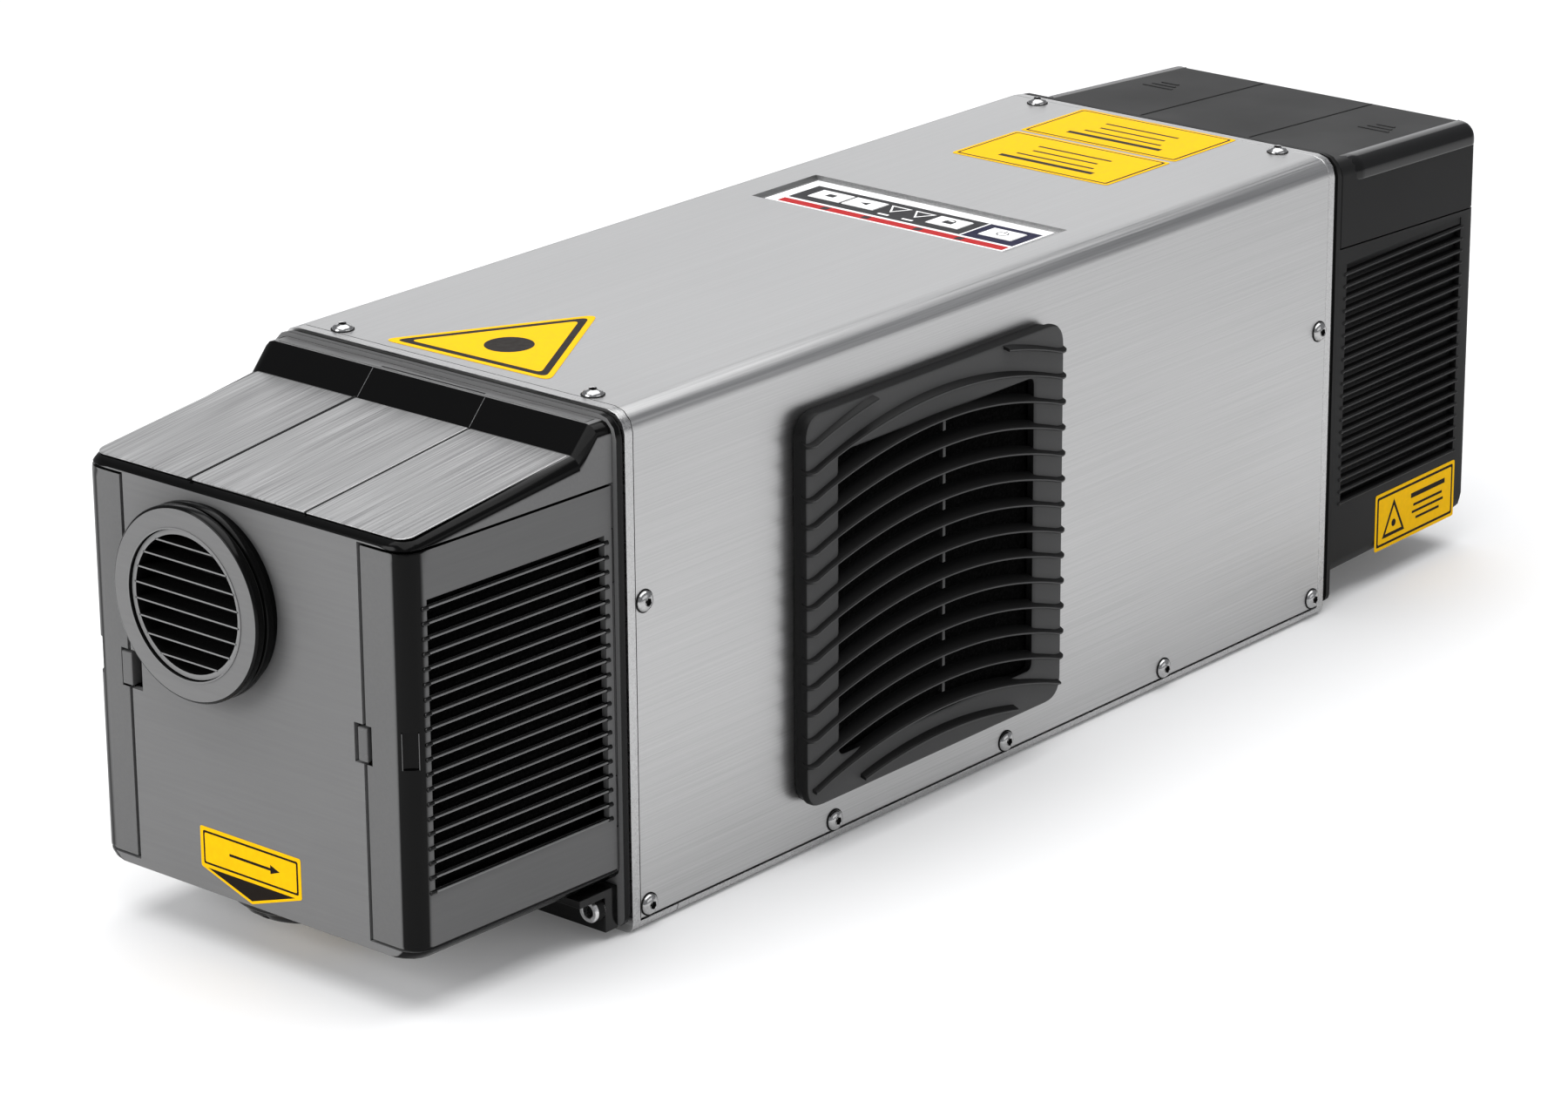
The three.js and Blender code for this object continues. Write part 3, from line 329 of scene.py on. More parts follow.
# Each node's finish and the radius in mm that its edges are rounded by
DRESSING = {
    "base_plate": ("edge_steel", 0.3),
    "front_end_frame": ("edge_steel", 0.4),
    "rear_end_frame": ("edge_steel", 0.4),
    "steel_cover": ("steel", 0.35),
    "front_gasket": ("rubber", 0.2),
    "rear_gasket": ("rubber", 0.2),
    "keypad_panel": ("white", 0.1),
    "stop_key": ("key", 0.15),
    "start_key": ("key", 0.15),
    "shutter_key": ("key", 0.15),
    "power_key": ("key", 0.15),
    "front_housing": ("head", 0.7),
    "near_side_cover": ("cover", 0.25),
    "far_side_cover": ("cover", 0.25),
    "near_cover_latch": ("latch", 0.4),
    "far_cover_latch": ("latch", 0.4),
    "near_side_filter": ("foam", 0.2),
    "far_side_filter": ("foam", 0.2),
    "focus_lens": ("glass", 0.2),
    "clamp_bracket": ("gloss", 0.8),
    "rear_housing": ("rear", 0.3),
    "rear_top_cover": ("rear", 0.5),
    "connector_plate": ("aluminium", 0.3),
    "mains_inlet": ("rear", 0.3),
    "main_switch": ("rear", 0.5),
    "key_switch": ("chrome", 0.4),
    "filter_frame": ("grille", 0.3),
    "filter_mat": ("foam", 0.2),
    "fan_frame": ("rear", 0.3),
    "fan_rotor": ("rear", 0.3),
    "laser_tube": ("aluminium", 0.4),
    "tube_cradle": ("aluminium", 0.4),
    "rf_driver": ("aluminium", 0.4),
    "power_supply": ("steel", 0.4),
    "control_board": ("board", 0.2),
    "optics_plate": ("aluminium", 0.4),
    "beam_expander": ("gold", 0.3),
    "galvo_block": ("aluminium", 0.3),
    "x_galvo_motor": ("motor", 0.4),
    "y_galvo_motor": ("motor", 0.4),
    "x_mirror": ("gold", 0.15),
    "y_mirror": ("gold", 0.15),
    "shutter_solenoid": ("motor", 0.4),
    "shutter_flag": ("aluminium", 0.15),
}
SLOTTED = ("near_side_cover", "far_side_cover", "rear_housing", "filter_frame", "connector_plate")
for node, (finish, round_by) in DRESSING.items():
    dress(node, finish, round_by, node in SLOTTED)

# ---- Mesh building ----


def piece(name, bm, body, finishes, flat_below=35):
    """Turns a bmesh in metres into a named piece that rides on a CAD body."""
    bmesh.ops.recalc_face_normals(bm, faces=bm.faces)
    mesh = bpy.data.meshes.new(name)
    bm.to_mesh(mesh)
    bm.free()
    for finish in finishes:
        mesh.materials.append(MATERIALS[finish])
    mesh.shade_smooth()
    mesh.set_sharp_from_angle(angle=math.radians(flat_below))
    obj = bpy.data.objects.new(name, mesh)
    bpy.context.collection.objects.link(obj)
    weighted = obj.modifiers.new("normals", "WEIGHTED_NORMAL")
    weighted.keep_sharp = True
    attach(obj, body)
    return obj


def rings(bm, loops, material=0, close=False):
    """Skins a list of vertex loops of equal length; close joins the last loop to the first."""
    made = [[bm.verts.new(p) for p in loop] for loop in loops]
    pairs = list(zip(made, made[1:])) + ([(made[-1], made[0])] if close else [])
    count = len(made[0])
    faces = []
    for low, high in pairs:
        for i in range(count):
            j = (i + 1) % count
            faces.append(bm.faces.new((low[i], low[j], high[j], high[i])))
    if not close:
        faces.append(bm.faces.new(list(reversed(made[0]))))
        faces.append(bm.faces.new(made[-1]))
    for face in faces:
        face.material_index = material
    return faces


def lathe(bm, profile, place, segments=64, material=0, wobble=None):
    """Turns a profile of (radius, height) in mm about place's local Z axis.

    wobble(angle, radius) changes the radius round the turn.
    """
    loops = []
    for radius, height in profile:
        loop = []
        for i in range(segments):
            angle = 2 * math.pi * i / segments
            r = wobble(angle, radius) if wobble else radius
            loop.append(place @ mm(r * math.cos(angle), r * math.sin(angle), height))
        loops.append(loop)
    closed = profile[0] == profile[-1]
    return rings(bm, loops[:-1] if closed else loops, material, close=closed)


def bar(bm, lo, hi, material=0, round_by=0.0, place=Matrix.Identity(4)):
    """A block between two corners in mm, with rounded edges if asked."""
    made = bmesh.ops.create_cube(bm, size=1.0)["verts"]
    size = [h - l for l, h in zip(lo, hi)]
    middle = [(h + l) / 2 for l, h in zip(lo, hi)]
    for v in made:
        v.co = place @ mm(*(m + c * s for m, c, s in zip(middle, v.co, size)))
    faces = {f for v in made for f in v.link_faces}
    for face in faces:
        face.material_index = material
    if round_by:
        edges = list({e for v in made for e in v.link_edges})
        bmesh.ops.bevel(
            bm, geom=edges, offset=round_by * MM, segments=2, affect="EDGES", profile=0.5,
        )


def rounded(points, radius, steps=5):
    """A convex outline with each corner replaced by an arc of about that radius."""
    out = []
    count = len(points)
    for i in range(count):
        before, here, after = (Vector(points[(i + k) % count]) for k in (-1, 0, 1))
        to_before = (before - here).normalized()
        to_after = (after - here).normalized()
        half = to_before.angle(to_after) / 2
        longest = 0.45 * min((before - here).length, (after - here).length)
        reach = min(radius / math.tan(half), longest)
        start, end = here + to_before * reach, here + to_after * reach
        for k in range(steps + 1):
            t = k / steps
            out.append(tuple(start * (1 - t) ** 2 + here * 2 * t * (1 - t) + end * t**2))
    return out


def inset(points, by):
    """A convex outline moved inwards, worked out edge by edge."""
    count = len(points)
    area = sum(
        points[i - 1][0] * points[i][1] - points[i][0] * points[i - 1][1] for i in range(count)
    )
    side = 1 if area > 0 else -1
    lines = []
    for i in range(count):
        a, b = Vector(points[i]), Vector(points[(i + 1) % count])
        d = (b - a).normalized()
        shift = Vector((-d.y, d.x)) * by * side
        lines.append((a + shift, d))
    out = []
    for i in range(count):
        (p, d), (q, e) = lines[i - 1], lines[i]
        cross = d.x * e.y - d.y * e.x
        t = ((q - p).x * e.y - (q - p).y * e.x) / cross
        out.append(tuple(p + d * t))
    return out


def sheet(bm, outline, place, low, high, material):
    """A thin flat plate of that outline in mm, between two heights above place's XY plane."""
    loops = [[place @ mm(u, v, h) for u, v in outline] for h in (low, high)]
    rings(bm, loops, material)


def strip(bm, start, end, width, height):
    """A thin straight band between two points in metres, level across Y."""
    along = (end - start).normalized()
    out = Vector((-along.z, 0, along.x)) * height / 2 * MM
    side = Vector((0, width / 2 * MM, 0))
    rings(bm, [
        [p - side - out, p + side - out, p + side + out, p - side + out] for p in (start, end)
    ])


def rectangle(u0, u1, v0, v1):
    return [(u0, v0), (u1, v0), (u1, v1), (u0, v1)]


def frame_at(origin, x_axis, normal):
    """A placing matrix: local X along x_axis, local Z along normal. The origin is in mm."""
    z = Vector(normal).normalized()
    x = Vector(x_axis)
    x = (x - z * x.dot(z)).normalized()
    y = z.cross(x)
    matrix = Matrix((x, y, z)).transposed().to_4x4()
    matrix.translation = mm(*origin)
    return matrix


TOP = frame_at((0, 0, COVER_TOP), (1, 0, 0), (0, 0, 1))

# ---- Screws ----


def screw(bm, place, head=3.9, height=2.2, socket=1.35):
    """A button-head screw with a hexagon socket, painted shade inside the socket and painted shadow
    round the head; place's Z axis points out of the head.
    """

    def hexagon(angle, radius):
        if radius > socket:
            return radius
        turn = (angle + math.pi / 6) % (math.pi / 3) - math.pi / 6
        return radius / math.cos(turn)

    dome = [(head, 0.0), (head, 0.35)]
    for step in range(1, 8):
        t = math.radians(step * 11)
        dome.append((head * math.cos(t) * 0.97, 0.35 + (height - 0.35) * math.sin(t)))
    rim = [(socket + 0.35, height - 0.02), (socket, height - 0.12)]
    well = [(socket * 0.999, height - 1.2), (0.05, height - 1.35)]
    lathe(bm, [(0.05, 0.0)] + dome[:-1] + rim + well, place, 36, wobble=hexagon)
    # painted shade: a dark lining inside the hexagon socket
    socket_shade = [
        (0.05, height - 1.3), (socket * 0.94, height - 1.2), (socket * 0.94, height - 0.5),
        (socket * 0.99, height - 0.5), (socket * 0.99, height - 1.4), (0.05, height - 1.4),
    ]
    lathe(bm, socket_shade, place, 36, 1, wobble=hexagon)
    # painted shadow: a thin dark ring round the foot of the head
    shadow_ring = head + 0.4
    lathe(bm, [(head, 0.0), (shadow_ring, 0.0), (shadow_ring, 0.14), (head, 0.14), (head, 0.0)], place, 36, 1)


def screws(name, places, body="main_unit", replaced=(), **sizes):
    bm = bmesh.new()
    for place in places:
        screw(bm, place, **sizes)
    obj = piece(name, bm, body, ["chrome", "dark"], flat_below=28)
    if replaced:
        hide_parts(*replaced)


def centre_of(node):
    low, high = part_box(node)
    return (low + high) / 2 / MM


side_places = [centre_of(f"side_screw_{i}") for i in range(1, 8)]
top_places = [centre_of(f"top_screw_{i}") for i in range(1, 5)]
for i, c in enumerate(side_places, 1):
    place = frame_at((c.x, -SIDE_FACE, c.z), (1, 0, 0.2), (0, -1, 0))
    screws(f"side_button_screw_{i}", [place], replaced=[f"side_screw_{i}"])
for i, c in enumerate(top_places, 1):
    place = frame_at((c.x, c.y, COVER_TOP + SCREW_SEAT), (1, 0.3, 0), (0, 0, 1))
    screws(f"top_button_screw_{i}", [place], replaced=[f"top_screw_{i}"])
far_places = [frame_at((c.x, SIDE_FACE, c.z), (1, 0, 0.2), (0, 1, 0)) for c in side_places]
screws("far_side_button_screws", far_places)


def cap_screw(bm, place):
    """A socket cap screw with a knurled head, painted shade round its side and painted shade on its
    socket floor.

    The head points up along place's Z axis.
    """
    side = 4.15

    def knurled(angle, radius):
        raised = radius == side and int(angle * 30 / math.pi + 0.5) % 2
        return radius * 1.02 if raised else radius

    head = [
        (0.05, 0), (side, 0), (side, 3.9), (3.7, 4.6), (2.5, 4.6), (2.3, 4.3), (2.3, 2.2), (0.05, 2.0),
    ]
    lathe(bm, head, place, 60, wobble=knurled)
    # painted shade on the socket floor
    lathe(bm, [(0.05, 2.1), (2.25, 2.1), (2.25, 2.3), (0.05, 2.3)], place, 30, 1)
    # painted shade: a dark band over the side of the head, which sits in shadow
    side_shade = [(4.22, 0.1), (4.25, 0.1), (4.25, 3.3), (4.22, 3.3), (4.22, 0.1)]
    lathe(bm, side_shade, place, 60, 1)


for name, side, replaced in (("near_cap_screw", -1, ["clamp_screw"]), ("far_cap_screw", 1, [])):
    bm = bmesh.new()
    seat = (-221.1, side * 75, 12)
    cap_screw(bm, frame_at(seat, (0, 1, 0), (-1, 0, 0)))
    shank = [(0.05, 0), (2.5, 0), (2.5, 6.2), (0.05, 6.2)]
    lathe(bm, shank, frame_at(seat, (0, 1, 0), (1, 0, 0)), 32)
    # the cap screws take the paler metal of painted light, with painted shade on their sides and
    # socket floors
    obj = piece(name, bm, "main_unit", ["painted_light_screw", "dark"])
    if replaced:
        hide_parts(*replaced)

# ---- Front head ----


def slope_point(x, y, lift=0.0):
    """A point on the head's sloping top, lifted along the slope's normal."""
    front, rear = SLOPE_FRONT, SLOPE_REAR
    t = (x - front[0]) / (rear[0] - front[0])
    run = Vector((rear[0] - front[0], rear[1] - front[1])).normalized()
    z = front[1] + (rear[1] - front[1]) * t
    return mm(x - run.y * lift, y, z + run.x * lift)


def slope_panel(name, y0, y1, lift, outer_radius):
    """One brushed strip of the sloping top, with rolled edges and rounded front corners."""
    bm = bmesh.new()
    x0, x1 = -309.6, -230.4
    left = outer_radius if y0 < -50 else 0.4
    right = outer_radius if y1 > 50 else 0.4
    outline = []
    for (x, y), radius, start in (
        ((x0, y0), left, 180), ((x1, y0), 0.5, 270), ((x1, y1), 0.5, 0), ((x0, y1), right, 90),
    ):
        cx = x + (radius if x == x0 else -radius)
        cy = y + (radius if y == y0 else -radius)
        for k in range(7):
            a = math.radians(start + 15 * k)
            outline.append((cx + radius * math.cos(a), cy + radius * math.sin(a)))
    middle = ((x0 + x1) / 2, (y0 + y1) / 2)

    def drawn_in(value, centre, shrink):
        return value - math.copysign(shrink, value - centre)

    def loop(height, shrink):
        return [
            slope_point(drawn_in(x, middle[0], shrink), drawn_in(y, middle[1], shrink), height)
            for x, y in outline
        ]

    rings(bm, [loop(-0.1, 0), loop(lift - 0.15, 0), loop(lift - 0.04, 0.12), loop(lift, 0.4)])
    return piece(name, bm, "main_unit", ["slope"], flat_below=50)


slope_panel("slope_panel_near", -74.3, -28.8, 0.25, 5.0)
slope_panel("slope_panel_centre", -28.2, 25.6, 0.6, 0.4)
slope_panel("slope_panel_far", 27.0, 74.3, 0.25, 5.0)

bm = bmesh.new()
bar(bm, (-220.2, -73.5, 189.3), (-215.6, 73.5, 189.75), round_by=0.12)
piece("ledge_strip", bm, "main_unit", ["ledge"])
# painted shade: dark strips laid along the seams of the slope and along the ledge, standing for the
# shade in the gaps
bm = bmesh.new()
bar(bm, (-219.4, -25.9, 189.7), (-218.7, 23.5, 189.82))
seam_ends = (-310.4, -229.7)
for y, lift, width, height in ((SEAM_FAR, 0.42, 1.4, 0.3), (SEAM_NEAR, 0.12, 0.6, 0.1)):
    start, end = (slope_point(x, y, lift) for x in seam_ends)
    strip(bm, start, end, width, height)
piece("head_seam_shade", bm, "main_unit", ["dark"])

# seam lines of the centre strip running up the chamfer
bm = bmesh.new()
for y in (25.7, -27.9):
    strip(bm, mm(-229.4, y, 180.6), mm(-221.2, y, 189.3), 0.25, 0.3)
piece("chamfer_seams", bm, "main_unit", ["ledge"])

# exhaust collar
COLLAR = frame_at((0, COLLAR_Y, COLLAR_Z), (0, 1, 0), (-1, 0, 0))
bm = bmesh.new()
collar = [
    (26.8, 324.0), (27.1, 324.0), (27.4, 323.7), (33.9, 323.7), (34.6, 323.4), (35.0, 322.8),
    (35.0, 320.4), (34.6, 320.0), (33.5, 319.9), (33.4, 318.9), (34.6, 318.7), (35.0, 318.2),
    (35.0, 316.2), (34.6, 315.7), (33.5, 315.6), (33.4, 312.7), (30.6, 312.7), (30.6, 306.0),
    (26.8, 306.0), (26.8, 324.0),
]
lathe(bm, collar, COLLAR, segments=112)
obj = piece("exhaust_collar_ring", bm, "main_unit", ["collar"], flat_below=50)
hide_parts("exhaust_collar")
# eight thin vanes in a ring behind the collar's mouth
vane_front, vane_back = VANE_SPAN
vane_half = 0.28
bm = bmesh.new()
ring = [
    (24.7, 322.7), (26.5, 322.7), (26.75, 322.4), (26.75, 313.7), (24.7, 313.7), (24.7, 322.7),
]
lathe(bm, ring, COLLAR, segments=96)
for i in range(8):
    drop = (i - 3.5) * 5.9
    half = math.sqrt(25.5**2 - (abs(drop) + 0.7) ** 2)
    low = (vane_front, COLLAR_Y - half, COLLAR_Z + drop - vane_half)
    high = (vane_back, COLLAR_Y + half, COLLAR_Z + drop + vane_half)
    bar(bm, low, high)
obj = piece("collar_vanes", bm, "main_unit", ["vane"])
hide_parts("collar_louvre")
bm = bmesh.new()
lip = [(26.85, 324.05), (27.35, 324.05), (27.35, 323.6), (26.85, 323.6), (26.85, 324.05)]
lathe(bm, lip, COLLAR, segments=112)
piece("collar_lip", bm, "main_unit", ["rib"])
# painted shade: a dark disc behind the vanes stands for the shade inside the collar
bm = bmesh.new()
shade_disc = [(0.05, 306.5), (26.3, 306.5), (26.3, 307.2), (0.05, 307.2)]
lathe(bm, shade_disc, COLLAR)
piece("collar_back_shade", bm, "main_unit", ["dark"])

# beam-exit ring with grip notches
BEAM = frame_at((BEAM_X, BEAM_Y, 0), (1, 0, 0), (0, 0, 1))
bm = bmesh.new()
ring = [
    (20.0, 15.0), (23.4, 15.0), (24.4, 15.5), (25.0, 16.8), (25.0, 19.3), (28.2, 19.3),
    (28.5, 19.6), (28.5, 21.3), (28.2, 21.5), (23.0, 21.5), (23.0, 27.5), (21.0, 27.5),
    (21.0, 19.0), (20.0, 19.0), (20.0, 15.0),
]


def notched(angle, radius):
    notch = max(0.0, math.cos(6 * angle)) ** 3
    return radius - (1.3 * notch if 24 < radius < 26 else 0)


lathe(bm, ring, BEAM, segments=96, wobble=notched)
obj = piece("beam_ring_detail", bm, "main_unit", ["gloss"], flat_below=40)
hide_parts("beam_exit_ring")


def cover_details(side, body):
    """Rib edges, their end studs and dark plates of painted shade on the recessed slat faces of one
    side cover.
    """
    name = "near" if side < 0 else "far"
    pitch, first_rib, first_slot = 5.33, 45.9, 46.4

    def wall(x):
        return side * (HALF_WIDTH - TAPER * (HEAD_BACK - x) / HEAD_LENGTH)

    def rod(bm, z, stations):
        """A round rod along the wall; stations are (x, radius, height over the wall)."""
        turns = [math.radians(a) for a in range(0, 360, 45)]
        rings(bm, [
            [mm(x, wall(x) + side * (lift + r * math.cos(a)), z + r * math.sin(a)) for a in turns]
            for x, r, lift in stations
        ])

    bm = bmesh.new()
    edge = [(-304.9, 0.12, 0.5), (-304.6, 0.34, 0.45), (-217.6, 0.34, 0.2), (-217.3, 0.12, 0.2)]
    for i in range(RIB_COUNT):
        rod(bm, first_rib + pitch * i, edge)
    piece(f"{name}_cover_rib_edges", bm, body, ["rib"])
    bm = bmesh.new()
    for i in range(RIB_COUNT):
        z = first_rib + pitch * i
        for start, end in ((-305.6, -302.6), (-219.6, -217.0)):
            thick = [(x, 0.85, 0) for x in (start + 0.35, end - 0.35)]
            rod(bm, z, [(start, 0.3, 0), *thick, (end, 0.3, 0)])
    piece(f"{name}_cover_rib_studs", bm, body, ["gloss"])
    # painted shade: dark plates on the recessed slat faces
    bm = bmesh.new()
    for i in range(RIB_COUNT):
        low, high = first_slot + pitch * i - 1.15, first_slot + pitch * i - 0.05
        loops = []
        for x in (-303.0, -219.0):
            y0, y1 = wall(x) - side * 0.98, wall(x) - side * 0.6
            corners = ((y0, low), (y1, low), (y1, high), (y0, high))
            loops.append([mm(x, y, z) for y, z in corners])
        rings(bm, loops)
    piece(f"{name}_cover_slat_shade", bm, body, ["dark"])


cover_details(-1, "near_side_cover")
cover_details(1, "far_side_cover")

# pale edges of the finger recess in the near cover's corner
bm = bmesh.new()
for x, y in ((-312.25, -72.75), (-308.2, -76.75)):
    upright = frame_at((x, y, 97.75), (0, 0, 1), (-1, -1, 0))
    bar(bm, (-6.6, -0.14, -0.1), (6.4, 0.14, 0.1), place=upright)
piece("finger_recess_edges", bm, "near_side_cover", ["latch"])

# ---- Square filter grille ----


BLADES = 15
BLADE_PITCH = 10.1
BLADE_END = 16.8  # height of the lowest blade's ends
BLADE_RISE = 12.5  # how far a blade's middle stands over its ends
FRAME_CORNER = 9
FRAME_HALF = 74.6
FRAME_BOTTOM, FRAME_TOP = 20.4, 169.6
BLADE_LOW, BLADE_HIGH = 24.0, 167.4  # a blade is cut off beyond these heights
BLADE_BACK = -86.6


def blade_height(u, blade):
    """Height of a blade's edge at u mm from the grille's middle."""
    t = min(abs(u) / 71, 1.0)
    return BLADE_END + BLADE_PITCH * blade + BLADE_RISE * (1 - t * t)


def blade_front(u):
    """Y of a blade's front edge: bowed out in the middle and drawn in at its tips."""
    bow = max(0.0, 1 - (u / 64) ** 2)
    tip = max(0.0, (abs(u) - 71.5) / 3.5)
    return -90.9 - 1.4 * bow + 1.6 * tip**2


def blade_runs(blade):
    """The stretches of (u, z) along a blade that lie within the frame's rounded outline."""
    runs, run = [], []
    for k in range(101):
        u = -75 + 1.5 * k
        z = blade_height(u, blade)
        past = max(0.0, abs(u) - (FRAME_HALF - FRAME_CORNER))
        corner = FRAME_CORNER - math.sqrt(max(0.0, FRAME_CORNER**2 - past**2))
        if BLADE_LOW + corner < z < BLADE_HIGH - corner:
            run.append((u, z))
        elif run:
            runs.append(run)
            run = []
    if run:
        runs.append(run)
    return [run for run in runs if len(run) >= 4]


def grille():
    """Square frame with fifteen arched louvre blades that run over its edges."""
    low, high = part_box("filter_grille")
    cx = (low.x + high.x) / 2 / MM
    bm = bmesh.new()

    def loop(half_u, v0, v1, radius, y):
        points = rounded(rectangle(-half_u, half_u, v0, v1), radius, 7)
        return [mm(cx + u, y, v) for u, v in points]

    rings(bm, [
        loop(FRAME_HALF, FRAME_BOTTOM, FRAME_TOP, FRAME_CORNER, -85.7),
        loop(FRAME_HALF, FRAME_BOTTOM, FRAME_TOP, FRAME_CORNER, -87.4),
        loop(74.2, 20.8, 169.2, FRAME_CORNER, -88.3),
        loop(73.2, 21.8, 168.2, 8.4, -88.8),
        loop(58.0, 35.4, 153.2, 3.2, -88.9),
        loop(56.6, 36.6, 152.0, 3, -88.3),
        loop(56.4, 36.8, 151.8, 3, -85.7),
    ], close=True)
    for blade in range(BLADES):
        for run in blade_runs(blade):
            loops = []
            for u, z in run:
                y = blade_front(u)
                top = min(z + 1.2 + 0.30 * (BLADE_BACK - y), 169.0)
                section = (
                    (y + 0.30, z - 0.20), (y, z + 0.05), (y, z + 0.55), (y + 0.25, z + 0.85),
                    (y + 0.8, z + 1.1), (BLADE_BACK, top), (BLADE_BACK, top - 1.4),
                    (y + 1.6, min(z + 0.1, top - 0.9)),
                )
                loops.append([mm(cx + u, *point) for point in section])
            rings(bm, loops)
    for blade in range(2, 13):
        z = blade_height(0, blade)
        bar(bm, (cx - 0.8, -91.3, z - 4.2), (cx + 0.8, -89.4, z + 0.4), round_by=0.2)
    obj = piece("arched_grille", bm, "filter_grille", ["grille"], flat_below=32)
    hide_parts("filter_grille")


grille()

# ---- Rear housing ----

# painted shade: dark strips along the hood's seams, standing for the shade in the gaps
bm = bmesh.new()
for y in (27.3, -27.3):
    strip(bm, mm(219.4, y, 187.28), mm(315.5, y, 182.65), 0.7, 0.24)
piece("hood_seam_shade", bm, "rear_top_cover", ["dark"])

bm = bmesh.new()
for y in (54.5, -54.5):
    for k in range(3):
        x = 276 + 4.5 * k
        half = 7.5 - 1.6 * k
        low = (x, y - half, 183.6 - 0.21 * k)
        high = (x + 1.6, y + half, 184.75 - 0.21 * k)
        bar(bm, low, high, round_by=0.3)
piece("hood_grips", bm, "rear_top_cover", ["rear"])


def rear_wall(x, side):
    return side * (HALF_WIDTH - TAPER * (x - REAR_START) / REAR_LENGTH)


def hood_top(x):
    return 187.6 - 5.2 * (x - REAR_START) / REAR_LENGTH


bm = bmesh.new()
for side in (-1, 1):
    loops = []
    stations = ((227.5, -0.3), (231.5, 0.7), (234, 0.75), (314.5, 0.75), (316.2, 0.5), (317.2, -0.3))
    for x, grow in stations:
        wall, top = abs(rear_wall(x, 1)), hood_top(x)
        outer = [(wall - 8, top + 0.04)]
        for step in range(7):
            a = math.radians(90 - 15 * step)
            reach, rise = 6 + grow, 6 + min(grow, 0.2)
            outer.append((wall - 6 + reach * math.cos(a), top - 6 + rise * math.sin(a)))
        outer += [
            (wall + grow, top - 8.2), (wall + grow - 0.4, top - 8.9), (wall - 1, top - 9),
            (wall - 3, top - 5), (wall - 8, top - 1),
        ]
        loops.append([mm(x, side * y, z) for y, z in outer])
    rings(bm, loops)
piece("hood_lips", bm, "rear_top_cover", ["gloss"], flat_below=40)


bm = bmesh.new()
stations = (
    (221.6, 0.2), (222.2, 0.75), (223.4, 0.75), (224, 0.5),
    (308.6, 0.5), (309, 0.75), (310.2, 0.75), (310.8, 0.2),
)
turns = [math.radians(45 * k) for k in range(8)]
for side in (-1, 1):
    for i in range(RIB_COUNT):
        z = 43.3 + 5.1 * i
        loops = []
        for x, r in stations:
            y = rear_wall(x, side) - side * 0.05
            loops.append([
                mm(x, y + side * r * 0.9 * math.cos(a), z + r * math.sin(a)) for a in turns
            ])
        rings(bm, loops)
piece("rear_rib_edges", bm, "main_unit", ["rear_rib"])


def label(name, outline, place, body="main_unit", margin=1.4, line=0.9, radius=2.0, marks=()):
    """A printed label: yellow ground, a black border line and plain black marks."""
    bm = bmesh.new()
    sheet(bm, rounded(outline, radius), place, 0.02, 0.12, 0)
    inner = inset(outline, margin)
    sheet(bm, rounded(inner, radius * 0.8), place, 0.12, 0.15, 1)
    field = inset(outline, margin + line)
    sheet(bm, rounded(field, radius * 0.6), place, 0.15, 0.18, 0)
    for mark in marks:
        sheet(bm, mark, place, 0.18, 0.21, 1)
    return piece(name, bm, body, ["yellow", "black_ink"], flat_below=20)


def disc(u, v, radius, steps=32):
    turns = [2 * math.pi * k / steps for k in range(steps)]
    return [(u + radius * math.cos(a), v + radius * math.sin(a)) for a in turns]


triangle = [(-201.6, 40.5), (-199.2, -38), (-131.5, 1.0)]
label("top_triangle_label", triangle, TOP, margin=2.2, line=2.8, radius=3.0, marks=[disc(-178, 1, 9)])
for name, x0, x1 in (("top_label_front", 119.6, 161.5), ("top_label_rear", 163.9, 205.7)):
    marks = []
    for k, (width, short) in enumerate(((2.8, 2), (1.4, 6), (1.4, 9), (1.4, 7))):
        start = x0 + 8.5 + 6.5 * k
        marks.append(rectangle(start, start + width, -25 + short, 25 - short))
    label(name, rectangle(x0, x1, -37.2, 39.6), TOP, radius=1.6, marks=marks)

FACE = frame_at((HEAD_FRONT, 0, 0), (0, -1, 0), (-1, 0, 0))
pentagon = [(22.8, 46.1), (-26.2, 46.1), (-26.2, 31.0), (-1.7, 22.9), (22.8, 31.0)]
bm = bmesh.new()
sheet(bm, rounded(pentagon, 1.0), FACE, 0.02, 0.12, 0)
border = [(21.4, 44.7), (-24.8, 44.7), (-24.8, 32.2), (21.4, 32.2)]
field = [(20.6, 43.9), (-24.0, 43.9), (-24.0, 33.0), (20.6, 33.0)]
sheet(bm, rounded(border, 0.8), FACE, 0.12, 0.15, 1)
sheet(bm, rounded(field, 0.6), FACE, 0.15, 0.18, 0)
sheet(bm, [(19.6, 30.9), (-23.0, 30.9), (-1.7, 24.0)], FACE, 0.12, 0.15, 1)
sheet(bm, rounded(rectangle(-12, 8, 38.0, 39.0), 0.3), FACE, 0.18, 0.21, 1)
sheet(bm, [(8, 36.8), (12.5, 38.5), (8, 40.2)], FACE, 0.18, 0.21, 1)
piece("front_pentagon_label", bm, "main_unit", ["yellow", "black_ink"], flat_below=20)

